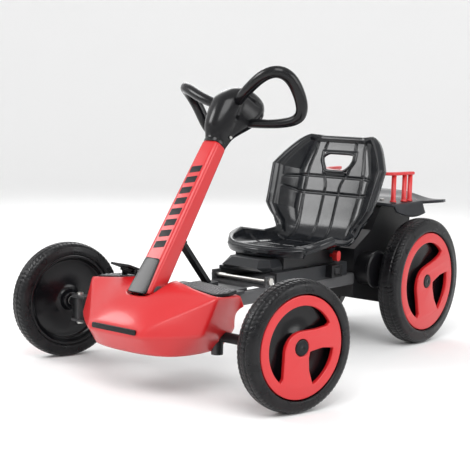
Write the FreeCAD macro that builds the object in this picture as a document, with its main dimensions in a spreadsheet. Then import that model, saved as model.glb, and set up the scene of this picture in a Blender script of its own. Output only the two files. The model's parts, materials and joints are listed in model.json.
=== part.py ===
"""Folding battery-driven go kart for a child, as a parametric FreeCAD document.

Frame of the model: +Z is up, -Y is forward and +X is the rider's left. The origin is on the ground,
in the middle of the kart's length and width. Most pieces are laid out from the front axle line.
"""
import math
import os

import FreeCAD
import Part
import Sketcher

V = FreeCAD.Vector
X, Y, Z = V(1, 0, 0), V(0, 1, 0), V(0, 0, 1)

document = FreeCAD.newDocument("GoKart")
sheet = document.addObject("Spreadsheet::Sheet", "Sizes")

DRIVING_SIZES = {
    # wheels
    "wheelbase": 656, "front_tyre_radius": 116, "rear_tyre_radius": 138,
    "front_tyre_width": 42, "rear_tyre_width": 48, "front_ring_radius": "=front_tyre_radius - 26",
    "rear_ring_radius": "=rear_tyre_radius - 31",
    "front_wheel_offset": 53, "rear_wheel_x": 141, "ring_gap": 2, "barrel_wall": 6, "web_wall": 4,
    "hub_radius": 17, "cover_wall": 6, "cap_radius": 12.5, "running_gap": 0.05,
    # steering
    "steer_rest": 13, "kingpin_x": 245, "steering_arm": 45, "knuckle_radius": 11,
    "knuckle_bottom": 86, "knuckle_top": 126, "kingpin_radius": 4, "stub_radius": 6,
    "beam_height": 104, "beam_radius": 9.5, "tie_rod_radius": 4.5,
    "column_foot_y": -69, "column_foot_height": 175, "column_lean": 34.5, "column_length": 321,
    "column_top_width": 40, "column_top_depth": 34, "column_foot_width": 50, "column_foot_depth": 44,
    "column_wall": 3, "fold_pivot_height": 6, "pivot_radius": 4, "shaft_radius": 6, "joint_ball_radius": 7,
    "grip_radius": 9.5, "strut_length": 113, "strut_width": 16, "strut_depth": 8,
    # chassis
    "rail_x": 62, "rail_width": 22, "rail_depth": 25, "rail_bottom": 137.5, "rail_wall": 1.5,
    "rail_front": -104, "rail_back": 500, "housing_top": 185, "housing_nose": 150, "housing_wall": 4,
    "housing_half_width": 159, "housing_bottom": 76, "pad_wall": 4,
    "track_front": 225, "track_back": 470, "track_top": 190,
    # seat
    "seat_wall": 5, "pan_height": 226,
    "base_front": 262, "base_back": 440, "base_half_width": 62,
    # rear
    "axle_radius": 7, "deck_height": 312, "handle_height": 372,
    "handle_radius": 5, "gear_module": 3, "gear_teeth": 32, "pinion_teeth": 10,
    "panel_gap": 0.4, "clearance": 0.5,
}
for row, (alias, number) in enumerate(DRIVING_SIZES.items(), 1):
    sheet.set(f"A{row}", alias)
    sheet.set(f"B{row}", str(number))
    sheet.setAlias(f"B{row}", alias)
document.recompute()


class Size:
    """A spreadsheet expression that combines like a number and still drives the model."""

    def __init__(self, text):
        self.text = text

    def join(self, sign, other, swapped=False):
        first, second = self.text, written(other)
        if swapped:
            first, second = second, first
        return Size(f"({first} {sign} {second})")

    def __add__(self, other):
        return self.join("+", other)

    def __radd__(self, other):
        return self.join("+", other, True)

    def __sub__(self, other):
        return self.join("-", other)

    def __rsub__(self, other):
        return self.join("-", other, True)

    def __mul__(self, other):
        return self.join("*", other)

    def __rmul__(self, other):
        return self.join("*", other, True)

    def __truediv__(self, other):
        return self.join("/", other)

    def __neg__(self):
        return Size(f"(0 - {self.text})")

    def __float__(self):
        return float(sheet.evalExpression(self.text))


def written(size):
    """Text of a size, or of a plain number, as it stands in an expression."""
    return size.text if isinstance(size, Size) else f"{float(size):.6f}"


def number(size):
    """Present value of a size in millimetres."""
    return float(size)


def vector(x, y, z):
    return V(number(x), number(y), number(z))


class Cells:
    """Gives each named cell of the sheet as a Size."""

    def __getattr__(self, alias):
        return Size("Sizes." + alias)


S = Cells()


def bind(thing, path, size):
    """Give a property its value and, where the size comes from the sheet, its expression."""
    if isinstance(size, Size):
        thing.setExpression(path, size.text)
    else:
        setattr(thing, path, size)


# ---------------------------------------------------------------- frames that pieces are placed in

def shifted(x=0, y=0, z=0):
    return FreeCAD.Placement(vector(x, y, z), FreeCAD.Rotation())


def turned(axis, degrees):
    return FreeCAD.Placement(V(), FreeCAD.Rotation(axis, number(degrees)))


CHASSIS = shifted(y=(S.housing_nose - S.wheelbase - S.rear_tyre_radius) / 2)
COLUMN = CHASSIS * shifted(y=S.column_foot_y, z=S.column_foot_height) * turned(X, -S.column_lean)
STEERING = COLUMN * turned(Z, -S.steer_rest)
KNUCKLE = {side: CHASSIS * shifted(x=side * S.kingpin_x) * turned(Z, -S.steer_rest) for side in (1, -1)}
steer_radians = math.radians(number(S.steer_rest))
TIE_ROD = CHASSIS * shifted(x=S.steering_arm * math.sin(steer_radians),
                            y=S.steering_arm * math.cos(steer_radians))
FRONT_WHEEL = {side: KNUCKLE[side] * shifted(x=side * S.front_wheel_offset, z=S.front_tyre_radius)
               for side in (1, -1)}
REAR_WHEEL = {side: CHASSIS * shifted(side * S.rear_wheel_x, S.wheelbase, S.rear_tyre_radius)
              for side in (1, -1)}
for side_wheels in (FRONT_WHEEL, REAR_WHEEL):
    side_wheels[-1] = side_wheels[-1] * turned(Z, 180)
for side in (1, -1):
    REAR_WHEEL[side] = REAR_WHEEL[side] * turned(X, 15)

# ---------------------------------------------------------------- ways of making a piece

pieces = []


def finished(piece, label, frame):
    piece.Label = label
    document.recompute()
    piece.Placement = frame
    pieces.append(piece)
    return piece


def new_body(name):
    return document.addObject("PartDesign::Body", "Body_" + name)


def sketch_on(body, plane, offset=0):
    sketch = body.newObject("Sketcher::SketchObject", "Sketch")
    origin_plane = [item for item in body.Origin.OriginFeatures if item.Role == plane][0]
    sketch.AttachmentSupport = [(origin_plane, "")]
    sketch.MapMode = "FlatFace"
    if isinstance(offset, Size):
        sketch.setExpression("AttachmentOffset.Base.z", offset.text)
    else:
        sketch.AttachmentOffset = shifted(z=offset)
    return sketch


def pin_point(sketch, geometry, end, point):
    for kind, size in (("DistanceX", point[0]), ("DistanceY", point[1])):
        index = sketch.addConstraint(Sketcher.Constraint(kind, -1, 1, geometry, end, number(size)))
        if isinstance(size, Size):
            sketch.setExpression(f"Constraints[{index}]", size.text)


def outline(sketch, *corners):
    """Closed outline. A corner is (x, y), or (x, y, through_x, through_y) at the end of an arc.

    Each arc is held by its two ends and by a construction point that it passes through.
    """
    first = sketch.GeometryCount
    ends = {}
    for index, corner in enumerate(corners):
        start = vector(*corners[index - 1][:2], 0)
        end = vector(*corner[:2], 0)
        ends[first + index] = (1, 2)
        if len(corner) == 4:
            middle = vector(*corner[2:], 0)
            clockwise = (middle - start).cross(end - middle).z < 0
            if clockwise:
                start, end = end, start
                ends[first + index] = (2, 1)
            edge = Part.Arc(start, middle, end)
        else:
            edge = Part.LineSegment(start, end)
        sketch.addGeometry(edge, False)
    last = sketch.GeometryCount - 1
    for index, corner in enumerate(corners):
        geometry = first + index
        following = geometry + 1 if geometry < last else first
        sketch.addConstraint(Sketcher.Constraint("Coincident", geometry, ends[geometry][1],
                                                 following, ends[following][0]))
        pin_point(sketch, geometry, ends[geometry][1], corner[:2])
    for index, corner in enumerate(corners):
        if len(corner) == 4:
            middle = sketch.addGeometry(Part.Point(vector(*corner[2:], 0)), True)
            pin_point(sketch, middle, 1, corner[2:])
            sketch.addConstraint(Sketcher.Constraint("PointOnObject", middle, 1, first + index))
    return sketch


def circle(sketch, radius, x=0, y=0):
    index = sketch.addGeometry(Part.Circle(vector(x, y, 0), Z, number(radius)), False)
    pin_point(sketch, index, 3, (x, y))
    rule = sketch.addConstraint(Sketcher.Constraint("Radius", index, number(radius)))
    if isinstance(radius, Size):
        sketch.setExpression(f"Constraints[{rule}]", radius.text)
    return sketch


def rectangle(sketch, x0, x1, y0, y1):
    return outline(sketch, (x0, y0), (x1, y0), (x1, y1), (x0, y1))


def pad(body, sketch, length, both_ways=False):
    feature = body.newObject("PartDesign::Pad", "Pad")
    feature.Profile = sketch
    bind(feature, "Length", length)
    feature.Midplane = both_ways
    return feature


def pocket(body, sketch, length=None, both_ways=False, reverse=False):
    """Cut the sketch out of the body, right through where no length is given."""
    document.recompute()
    before = body.Shape.Volume
    feature = body.newObject("PartDesign::Pocket", "Pocket")
    feature.Profile = sketch
    if length is None:
        feature.Type = "ThroughAll"
        feature.Midplane = True
    else:
        bind(feature, "Length", length)
        feature.Midplane = both_ways
    feature.Reversed = reverse
    document.recompute()
    if not body.Shape.Volume < before - 0.01:
        raise RuntimeError(f"a pocket in {body.Name} cuts nothing")
    return feature


def revolve(body, sketch, axis="H_Axis"):
    feature = body.newObject("PartDesign::Revolution", "Revolution")
    feature.Profile = sketch
    feature.ReferenceAxis = (sketch, [axis])
    feature.Angle = 360
    return feature


def loft(body, kind, plane, sections, closed_outline=outline):
    """Ruled loft through (offset, corners) sections; kind is Additive or Subtractive."""
    document.recompute()
    sketches = []
    for offset, corners in sections:
        sketches.append(closed_outline(sketch_on(body, plane, offset), *corners))
    document.recompute()
    feature = body.newObject(f"PartDesign::{kind}Loft", kind + "Loft")
    feature.Profile = sketches[0]
    feature.Sections = sketches[1:]
    feature.Ruled = closed_outline is outline
    document.recompute()
    return feature


def round_edges(body, radius, wanted):
    """Fillet the edges for which wanted(edge) is true."""
    document.recompute()
    base = body.Tip
    names = [f"Edge{i}" for i, edge in enumerate(base.Shape.Edges, 1) if wanted(edge)]
    feature = body.newObject("PartDesign::Fillet", "Fillet")
    feature.Base = (base, names)
    bind(feature, "Radius", radius)
    document.recompute()
    return feature


def along(axis):
    """Picks straight edges that run along an axis of the body."""
    def wanted(edge):
        if edge.Curve.TypeId != "Part::GeomLine":
            return False
        return abs(abs(edge.Curve.Direction.dot(axis)) - 1) < 1e-6
    return wanted


def spun(label, frame, *outlines):
    """Piece turned about the X axis; each outline is a list of (x, radius) corners."""
    body = new_body(label)
    sketch = sketch_on(body, "XY_Plane")
    for corners in outlines:
        outline(sketch, *corners)
    revolve(body, sketch, "H_Axis")
    return finished(body, label, frame)


def solid_box(x0, x1, y0, y1, z0, z1):
    """Part box between limits that may be expressions."""
    box = document.addObject("Part::Box", "Box")
    for path, low, high in (("Length", x0, x1), ("Width", y0, y1), ("Height", z0, z1)):
        bind(box, path, high - low)
    box.Placement = shifted(x0, y0, z0)
    for letter, low in zip("xyz", (x0, y0, z0)):
        if isinstance(low, Size):
            box.setExpression(f"Placement.Base.{letter}", low.text)
    return box


def solid_rod(radius, length, x=0, y=0, z=0, axis=Z):
    """Part cylinder that starts at a point and runs along an axis."""
    rod = document.addObject("Part::Cylinder", "Rod")
    bind(rod, "Radius", radius)
    bind(rod, "Height", length)
    rod.Placement = FreeCAD.Placement(vector(x, y, z), FreeCAD.Rotation(Z, axis))
    return rod


def fused(*members):
    fuse = document.addObject("Part::MultiFuse", "Fuse")
    fuse.Shapes = list(members)
    fuse.Refine = True
    return fuse


def cut(base, *tools):
    tool = tools[0] if len(tools) == 1 else fused(*tools)
    result = document.addObject("Part::Cut", "Cut")
    result.Base = base
    result.Tool = tool
    return result


def group(*members):
    compound = document.addObject("Part::Compound", "Group")
    compound.Links = list(members)
    return compound


def bent_tube(points, radius, bend):
    """Round bar along straight runs joined by tangent arcs of one bend radius."""
    edges = []
    start = points[0]
    for before, corner, after in zip(points, points[1:], points[2:]):
        back = (before - corner).normalize()
        ahead = (after - corner).normalize()
        half_turn = (math.pi - back.getAngle(ahead)) / 2
        reach = bend * math.tan(half_turn)
        middle = (back + ahead).normalize()
        arc_start = corner + back * reach
        arc_end = corner + ahead * reach
        arc_middle = corner + middle * (bend / math.cos(half_turn) - bend)
        edges.append(Part.LineSegment(start, arc_start).toShape())
        edges.append(Part.Arc(arc_start, arc_middle, arc_end).toShape())
        start = arc_end
    edges.append(Part.LineSegment(start, points[-1]).toShape())
    path = Part.Wire(edges)
    profile = Part.Wire(Part.makeCircle(radius, points[0], points[1] - points[0]))
    return path.makePipeShell([profile], True, True)


def paired(label, make):
    """Left and right piece of one kind in one node, as a group of two solids."""
    halves = [make(f"{label}_{side}", side) for side in (1, -1)]
    for half in halves:
        pieces.remove(half)
    finished(group(*halves), label, FreeCAD.Placement())


def shaped(label, frame, shape):
    piece = document.addObject("Part::Feature", "Shape_" + label)
    piece.Shape = shape
    return finished(piece, label, frame)


# ---------------------------------------------------------------- wheels (local +X points outwards)

def tyre(label, frame, radius, width, ring_radius):
    bore = ring_radius + S.ring_gap
    half = width / 2
    spun(label, frame, [
        (-half + 3, bore), (half - 3, bore), (half, bore + 5), (half - 3, radius - 9),
        (half - 8, radius - 2), (8 - half, radius - 2, 0, radius), (3 - half, radius - 9),
        (-half, bore + 5)])


def rim(label, frame, width, ring_radius, bore):
    outer = ring_radius + S.ring_gap
    inner = outer - S.barrel_wall
    back = 2 - width / 2
    front = width / 2 - 2 - S.cover_wall
    hub_back = back - 4
    return spun(label, frame, [
        (back, inner), (back, outer), (front, outer), (front, inner), (S.web_wall - 8, inner),
        (S.web_wall - 8, S.hub_radius), (front, S.hub_radius), (front, bore), (hub_back, bore),
        (hub_back, S.hub_radius), (-8, S.hub_radius), (-8, inner)])


def wheel_cover(label, frame, width, ring_radius):
    """Flush disc with one comma-shaped and one three-cornered window beside two curved spokes."""
    def at(x, y):
        return ring_radius * x, ring_radius * y

    def through(x, y, mid_x, mid_y):
        return at(x, y) + at(mid_x, mid_y)

    body = new_body(label)
    back = width / 2 - 2 - S.cover_wall
    disc = circle(sketch_on(body, "YZ_Plane", back), ring_radius)
    pad(body, disc, S.cover_wall)
    window = sketch_on(body, "YZ_Plane", back)
    outline(window, at(0.67, 0.43), through(-0.48, -0.64, -0.56, 0.57), at(-0.42, -0.14),
            through(-0.02, 0.31, -0.30, 0.20), at(0.58, 0.33))
    outline(window, at(0.19, -0.10), at(0.27, -0.75), through(0.80, -0.07, 0.65, -0.47))
    circle(window, S.cap_radius + 0.3)
    pocket(body, window, S.cover_wall + 1, reverse=True)
    return finished(body, label, frame)


def hub_cap(label, frame, width):
    """Slightly domed cap in the middle of a wheel cover."""
    back = width / 2 - 2 - S.cover_wall
    face = width / 2 - 2
    return spun(label, frame, [(back, 0), (face + 2.5, 0), (face + 1, S.cap_radius - 1.5, face + 2.2, 6),
                               (face, S.cap_radius), (back, S.cap_radius)])


def flanged_bushes(label, frame, width, bore, outer):
    back = 2 - width / 2 - 4
    front = width / 2 - 2 - S.cover_wall
    spun(label, frame,
         [(back, bore), (back + 10, bore), (back + 10, outer), (back, outer)],
         [(front - 10, bore), (front, bore), (front, outer), (front - 10, outer)])


bush_outer = S.stub_radius + 3
for side, name in ((1, "left"), (-1, "right")):
    frame = FRONT_WHEEL[side]
    tyre(f"front_tyre_{name}", frame, S.front_tyre_radius, S.front_tyre_width, S.front_ring_radius)
    rim(f"front_rim_{name}", frame, S.front_tyre_width, S.front_ring_radius, bush_outer)
    wheel_cover(f"front_wheel_cover_{name}", frame, S.front_tyre_width, S.front_ring_radius)
    hub_cap(f"front_hub_cap_{name}", frame, S.front_tyre_width)
    flanged_bushes(f"front_wheel_bushes_{name}", frame, S.front_tyre_width,
                   S.stub_radius + S.running_gap, bush_outer)
    tyre(f"rear_tyre_{name}", REAR_WHEEL[side], S.rear_tyre_radius, S.rear_tyre_width, S.rear_ring_radius)

paired("rear_rims", lambda label, side: rim(
    label, REAR_WHEEL[side], S.rear_tyre_width, S.rear_ring_radius, S.axle_radius))
paired("rear_wheel_covers", lambda label, side: wheel_cover(
    label, REAR_WHEEL[side], S.rear_tyre_width, S.rear_ring_radius))
paired("rear_hub_caps", lambda label, side: hub_cap(label, REAR_WHEEL[side], S.rear_tyre_width))

# ---------------------------------------------------------------- front axle and steering linkage

lug_reach = S.knuckle_radius + 1
stand_radius, stand_x = 11, 114
yoke_back = S.kingpin_x - 24


def front_axle_beam():
    """Cross tube with a yoke at each end, two stands and two legs under the rails."""
    beam = [solid_rod(S.beam_radius, 2 * yoke_back, x=-yoke_back, z=S.beam_height, axis=X)]
    holes = []
    for side in (1, -1):
        for x0, x1, y, z0, z1 in (
                (yoke_back, yoke_back + 6, 10, S.knuckle_bottom - 6, S.knuckle_top + 6),
                (yoke_back, S.kingpin_x + lug_reach, lug_reach, S.knuckle_bottom - 6, S.knuckle_bottom - 1),
                (yoke_back, S.kingpin_x + lug_reach, lug_reach, S.knuckle_top + 1, S.knuckle_top + 6),
                (S.rail_x - 9, S.rail_x + 9, 8, S.beam_height, S.rail_bottom)):
            low, high = (x0, x1) if side > 0 else (-x1, -x0)
            beam.append(solid_box(low, high, -y, y, z0, z1))
        beam.append(solid_rod(stand_radius, 30, x=side * stand_x, z=S.beam_height - 34))
        holes.append(solid_rod(S.kingpin_radius, 80, x=side * S.kingpin_x, z=S.knuckle_bottom - 20))
    finished(cut(fused(*beam), *holes), "front_axle_beam", CHASSIS)


def kingpins():
    """Upright bolts through the yokes, with a head below and a nut above."""
    bolts = []
    head_radius, head_height = 6.5, 5
    foot = S.knuckle_bottom - 6
    shank = S.knuckle_top - S.knuckle_bottom + 15
    for side in (1, -1):
        x = side * S.kingpin_x
        bolts.append(fused(
            solid_rod(S.kingpin_radius, shank, x=x, z=foot - 2),
            solid_rod(head_radius, head_height, x=x, z=foot - head_height),
            solid_rod(head_radius, head_height, x=x, z=S.knuckle_top + 6)))
    finished(group(*bolts), "kingpin_bolts", CHASSIS)


arm_bottom = S.beam_height - 6
arm_top = arm_bottom + 5


def knuckle(side, name):
    """Upright block on the kingpin with the wheel's stub and the steering arm."""
    half = S.knuckle_radius
    stub_end = S.front_wheel_offset + S.front_tyre_width / 2 - 4 - S.cover_wall
    across = X if side > 0 else -X
    body = fused(
        solid_box(-half, half, -half, half, S.knuckle_bottom, S.knuckle_top),
        solid_rod(9, S.front_wheel_offset - S.front_tyre_width / 2 - 2.5, z=S.front_tyre_radius, axis=across),
        solid_rod(S.stub_radius, stub_end, z=S.front_tyre_radius, axis=across),
        solid_box(-7, 7, 0, S.steering_arm, arm_bottom, arm_top),
        solid_rod(7, 5, y=S.steering_arm, z=arm_bottom))
    pin_hole = solid_rod(S.kingpin_radius + S.running_gap, 80, z=S.knuckle_bottom - 20)
    arm_hole = solid_rod(4 + S.running_gap, 20, y=S.steering_arm, z=arm_bottom - 8)
    finished(cut(body, pin_hole, arm_hole), f"steering_knuckle_{name}", KNUCKLE[side])


rod_height = arm_bottom - 7
lean_radians = math.radians(number(S.column_lean))
crank_bottom = -46


def tie_rod():
    """Bar between the steering arms, with a plate forward under the beam to the crank pin."""
    lean_sine, lean_cosine = math.sin(lean_radians), math.cos(lean_radians)
    pin_reach = S.steering_arm * math.cos(steer_radians)
    plate_middle = rod_height - 2
    drop = (S.column_foot_height - plate_middle - pin_reach * lean_sine) / lean_cosine
    pin_y = S.column_foot_y + pin_reach * lean_cosine - drop * lean_sine - pin_reach
    bar = [solid_rod(S.tie_rod_radius, 2 * S.kingpin_x, x=-S.kingpin_x, z=rod_height, axis=X),
           solid_box(-11, 11, pin_y - 15, 0, plate_middle - 1.5, plate_middle + 1.5)]
    for side in (1, -1):
        bar.append(solid_rod(7, 9, x=side * S.kingpin_x, z=arm_bottom - 10))
        bar.append(solid_rod(4, 20, x=side * S.kingpin_x, z=arm_bottom - 10))
    slot = solid_box(-4 - S.clearance, 4 + S.clearance, pin_y - 7.6, pin_y + 7.6,
                     plate_middle - 5, plate_middle + 5)
    finished(cut(fused(*bar), slot), "tie_rod", TIE_ROD)


def lower_steering_shaft():
    """Short shaft under the fold joint: a fork above, a crank with its pin below."""
    ball = S.joint_ball_radius
    pivot = S.fold_pivot_height
    fork = [solid_box(x0, x1, -4, 4, pivot - ball - 7, pivot + 4)
            for x0, x1 in ((ball + 1, ball + 5), (-ball - 5, -ball - 1))]
    shaft = fused(
        *fork, solid_rod(ball + 5, 5, z=pivot - ball - 7),
        solid_rod(S.shaft_radius, pivot - ball - 5 - crank_bottom, z=crank_bottom),
        solid_box(-8, 8, 0, S.steering_arm, crank_bottom, crank_bottom + 6),
        solid_rod(9, 6, z=crank_bottom), solid_rod(8, 6, y=S.steering_arm, z=crank_bottom),
        solid_rod(4, 35, y=S.steering_arm, z=crank_bottom - 34))
    finished(shaft, "lower_steering_shaft", STEERING)


def column_bracket():
    """Plate between the rails with two ears for the fold pins and a boss for the lower shaft."""
    inner = S.rail_x - S.rail_width / 2
    lean_sine, lean_cosine = math.sin(lean_radians), math.cos(lean_radians)
    along_column = V(0, lean_sine, lean_cosine)
    pivot_y = S.column_foot_y + S.fold_pivot_height * lean_sine
    pivot_z = S.column_foot_height + S.fold_pivot_height * lean_cosine
    ear_inside = S.column_foot_width / 2 + 1
    plate_top = S.rail_bottom + 13.5
    parts = [solid_box(-inner, inner, S.column_foot_y - 33, S.column_foot_y + 40, plate_top - 3, plate_top)]
    for low, high in ((ear_inside, ear_inside + 3), (-ear_inside - 3, -ear_inside)):
        parts.append(solid_box(low, high, pivot_y - 11, pivot_y + 11, plate_top - 3, pivot_z))
        parts.append(solid_rod(11, 3, x=low, y=pivot_y, z=pivot_z, axis=X))
    boss_low, boss_high = -38, -18
    parts.append(solid_rod(11, boss_high - boss_low, y=S.column_foot_y + boss_low * lean_sine,
                           z=S.column_foot_height + boss_low * lean_cosine, axis=along_column))
    bore = solid_rod(S.shaft_radius + S.running_gap, 70, y=S.column_foot_y - 60 * lean_sine,
                     z=S.column_foot_height - 60 * lean_cosine, axis=along_column)
    pins = solid_rod(S.pivot_radius + S.running_gap, 100, x=-50, y=pivot_y, z=pivot_z, axis=X)
    finished(cut(fused(*parts), bore, pins), "column_bracket", CHASSIS)


front_axle_beam()
kingpins()
for side, name in ((1, "left"), (-1, "right")):
    knuckle(side, name)
tie_rod()
lower_steering_shaft()
column_bracket()

# ---------------------------------------------------------------- steering column and its brace

brace_y, brace_z = 27, 124


def rounded_section(half_x, low_y, high_y, corner):
    """Corners of a rectangle with cut corners, for a lofted tube."""
    return [(half_x - corner, low_y), (half_x, low_y + corner), (half_x, high_y - corner),
            (half_x - corner, high_y), (corner - half_x, high_y), (-half_x, high_y - corner),
            (-half_x, low_y + corner), (corner - half_x, low_y)]


def steering_column():
    """Tapering hollow column with a recess in front and a lug for the brace behind."""
    body = new_body("steering_column")
    foot_x, foot_y = S.column_foot_width / 2, S.column_foot_depth / 2
    top_x, top_y = S.column_top_width / 2, S.column_top_depth / 2
    wall = S.column_wall
    loft(body, "Additive", "XY_Plane", [
        (-7, rounded_section(foot_x, -foot_y, foot_y, 6)),
        (50, rounded_section(foot_x - 1, -foot_y, foot_y, 6)),
        (S.column_length, rounded_section(top_x, -top_y, top_y, 9))])
    loft(body, "Subtractive", "XY_Plane", [
        (-8, rounded_section(foot_x - wall, wall - foot_y, foot_y - wall, 5)),
        (50, rounded_section(foot_x - 1 - wall, wall - foot_y, foot_y - wall, 5)),
        (S.column_length + 1, rounded_section(top_x - wall, wall - top_y, top_y - wall, 7))])
    recess = rectangle(sketch_on(body, "XZ_Plane", foot_y - 2), -19, 19, -10, 62)
    pocket(body, recess, 8, reverse=True)
    lug = rectangle(sketch_on(body, "YZ_Plane"), 16, brace_y + 6, brace_z - 7, brace_z + 7)
    pad(body, lug, 26, both_ways=True)
    gap = rectangle(sketch_on(body, "YZ_Plane"), foot_y - 2, brace_y + 8, brace_z - 9, brace_z + 9)
    pocket(body, gap, S.strut_width + 2, both_ways=True)
    pin = circle(sketch_on(body, "YZ_Plane"), 3 + S.running_gap, brace_y, brace_z)
    pocket(body, pin, 40, both_ways=True)
    pivot = circle(sketch_on(body, "YZ_Plane"), S.pivot_radius, 0, S.fold_pivot_height)
    pocket(body, pivot, 80, both_ways=True)
    finished(body, "steering_column", COLUMN)


def column_panel():
    """Black insert in the recess at the foot of the column's front face."""
    face = S.column_foot_depth / 2 - 2
    body = new_body("column_panel")
    gap = S.panel_gap
    corners = rectangle(sketch_on(body, "XZ_Plane", face), gap - 19, 19 - gap, -6, 62 - gap)
    pad(body, corners, 1.8)
    finished(body, "column_panel", COLUMN)


def column_bushes():
    """Two bearing rings that carry the steering shaft inside the column."""
    bore = S.shaft_radius + S.running_gap
    rings = []
    for height, outer in ((60, S.column_foot_depth / 2 - S.column_wall),
                          (S.column_length - 14, S.column_top_depth / 2 - S.column_wall + 0.6)):
        ring = cut(solid_rod(outer, 12, z=height), solid_rod(bore, 14, z=height - 1))
        rings.append(ring)
    finished(group(*rings), "column_bushes", COLUMN)


def fold_pins():
    """Two short pins in the column's foot that turn in the bracket's ears."""
    inside = S.column_foot_width / 2 - S.column_wall
    pins = [solid_rod(S.pivot_radius, 10, x=start, z=S.fold_pivot_height, axis=X)
            for start in (inside, -inside - 10)]
    finished(group(*pins), "fold_pins", COLUMN)


def brace_strut():
    """Flat bar with an eye on each end and the upper pivot pin."""
    start = COLUMN.multVec(V(0, brace_y, brace_z))
    frame = FreeCAD.Placement(start, FreeCAD.Rotation(X, -47.8))
    half_width, half_depth = S.strut_width / 2, S.strut_depth / 2
    strut = fused(
        solid_box(-half_width, half_width, 0, S.strut_length, -half_depth, half_depth),
        solid_rod(half_depth + 1.5, S.strut_width, x=-half_width, axis=X),
        solid_rod(half_depth, S.strut_width, x=-half_width, y=S.strut_length, axis=X),
        solid_rod(3, 26, x=-13, axis=X))
    finished(strut, "brace_strut", frame)


def upper_steering_shaft():
    """Long shaft inside the column with the fold joint's ball at its foot."""
    ball = S.joint_ball_radius
    pivot = S.fold_pivot_height
    bulb = document.addObject("Part::Sphere", "Ball")
    bind(bulb, "Radius", ball)
    bulb.Placement = shifted(z=pivot)
    shaft = fused(bulb, solid_rod(3.5, 30, z=pivot), solid_rod(S.shaft_radius, S.column_length, z=pivot + 22))
    finished(shaft, "steering_shaft", STEERING)


steering_column()
column_panel()
column_bushes()
fold_pins()
brace_strut()
upper_steering_shaft()

# ---------------------------------------------------------------- steering head and grips

HEAD_SECTIONS = ((0.5, 0, 22, 21), (28, -4, 30, 27), (62, 4, 44, 36), (96, 14, 50, 40),
                 (120, 20, 42, 34), (134, 25, 26, 20))


CAP_FACE, CAP_HEIGHT = 58, 104


def ellipse(sketch, middle_y, half_y, half_x):
    """Ellipse whose long axis runs along the sketch's Y axis."""
    start = vector(0, middle_y + half_y, 0)
    side = vector(half_x, middle_y, 0)
    shape = Part.Ellipse(start, side, vector(0, middle_y, 0))
    sketch.addGeometry(shape, False)
    return sketch


def steering_head():
    """Rounded head on the end of the shaft, with a flat seat for its cap."""
    body = new_body("steering_head")
    sections = []
    for height, middle, deep, wide in HEAD_SECTIONS:
        sections.append((S.column_length + height, (middle, deep, wide)))
    loft(body, "Additive", "XY_Plane", sections, ellipse)
    shaft_end = S.fold_pivot_height + 22 + S.column_length
    bore = circle(sketch_on(body, "XY_Plane", S.column_length - 5), S.shaft_radius)
    pocket(body, bore, shaft_end - S.column_length + 5, reverse=True)
    cap_seat = circle(sketch_on(body, "XZ_Plane", -CAP_FACE), 20.5, 0, S.column_length + CAP_HEIGHT)
    pocket(body, cap_seat, 40)
    finished(body, "steering_head", STEERING)


def head_cap():
    """Round disc on the rider's side of the steering head."""
    face = STEERING * shifted(y=CAP_FACE, z=S.column_length + CAP_HEIGHT)
    body = new_body("steering_head_cap")
    spun_sketch = sketch_on(body, "YZ_Plane")
    outline(spun_sketch, (0, 0), (9, 0), (8, 14, 8.6, 8), (5, 19), (0, 20))
    revolve(body, spun_sketch, "H_Axis")
    finished(body, "steering_head_cap", face)


def grip(side, name):
    """Closed hand loop from the head's side, up, out, back and in again."""
    corners = [V(side * x, y, z) for x, y, z in (
        (30, -16, 404), (76, -34, 430), (122, -38, 462), (148, 4, 456), (152, 48, 420), (104, 54, 396),
        (30, 36, 388))]
    tube = bent_tube(corners, number(S.grip_radius), 22)
    head = [piece for piece in pieces if piece.Label == "steering_head"][0].Shape.copy()
    head.Placement = FreeCAD.Placement()
    shaped(f"grip_{name}", STEERING, tube.cut(head))


steering_head()
head_cap()
for side, name in ((1, "left"), (-1, "right")):
    grip(side, name)

# ---------------------------------------------------------------- chassis rails, housing and pedals

rail_top = S.rail_bottom + S.rail_depth


def frame_rail(side, name):
    """Rectangular tube with cut corners from the nose to the rear casing."""
    body = new_body(f"frame_rail_{name}")
    middle = side * S.rail_x
    half = S.rail_width / 2
    section = sketch_on(body, "XZ_Plane", -S.rail_back)
    outline(section, *rail_section(middle, half, 0))
    outline(section, *rail_section(middle, half, S.rail_wall))
    pad(body, section, S.rail_back - S.rail_front)
    finished(body, f"frame_rail_{name}", CHASSIS)


def rail_section(middle, half, inset):
    corner = 3
    low, high = S.rail_bottom + inset, rail_top - inset
    left, right = middle - half + inset, middle + half - inset
    return [(left + corner, low), (right - corner, low), (right, low + corner), (right, high - corner),
            (right - corner, high), (left + corner, high), (left, high - corner), (left, low + corner)]


def housing_section(nose_x, nose_y, corner_x, corner_y, side_x, side_y, rear_x, rear_y, inset=0):
    half = [(nose_x - inset / 2, nose_y + inset), (corner_x - inset, corner_y + inset / 2),
            (side_x - inset, side_y), (rear_x - inset, rear_y)]
    return half + [(-x, y) for x, y in reversed(half)]


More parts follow.
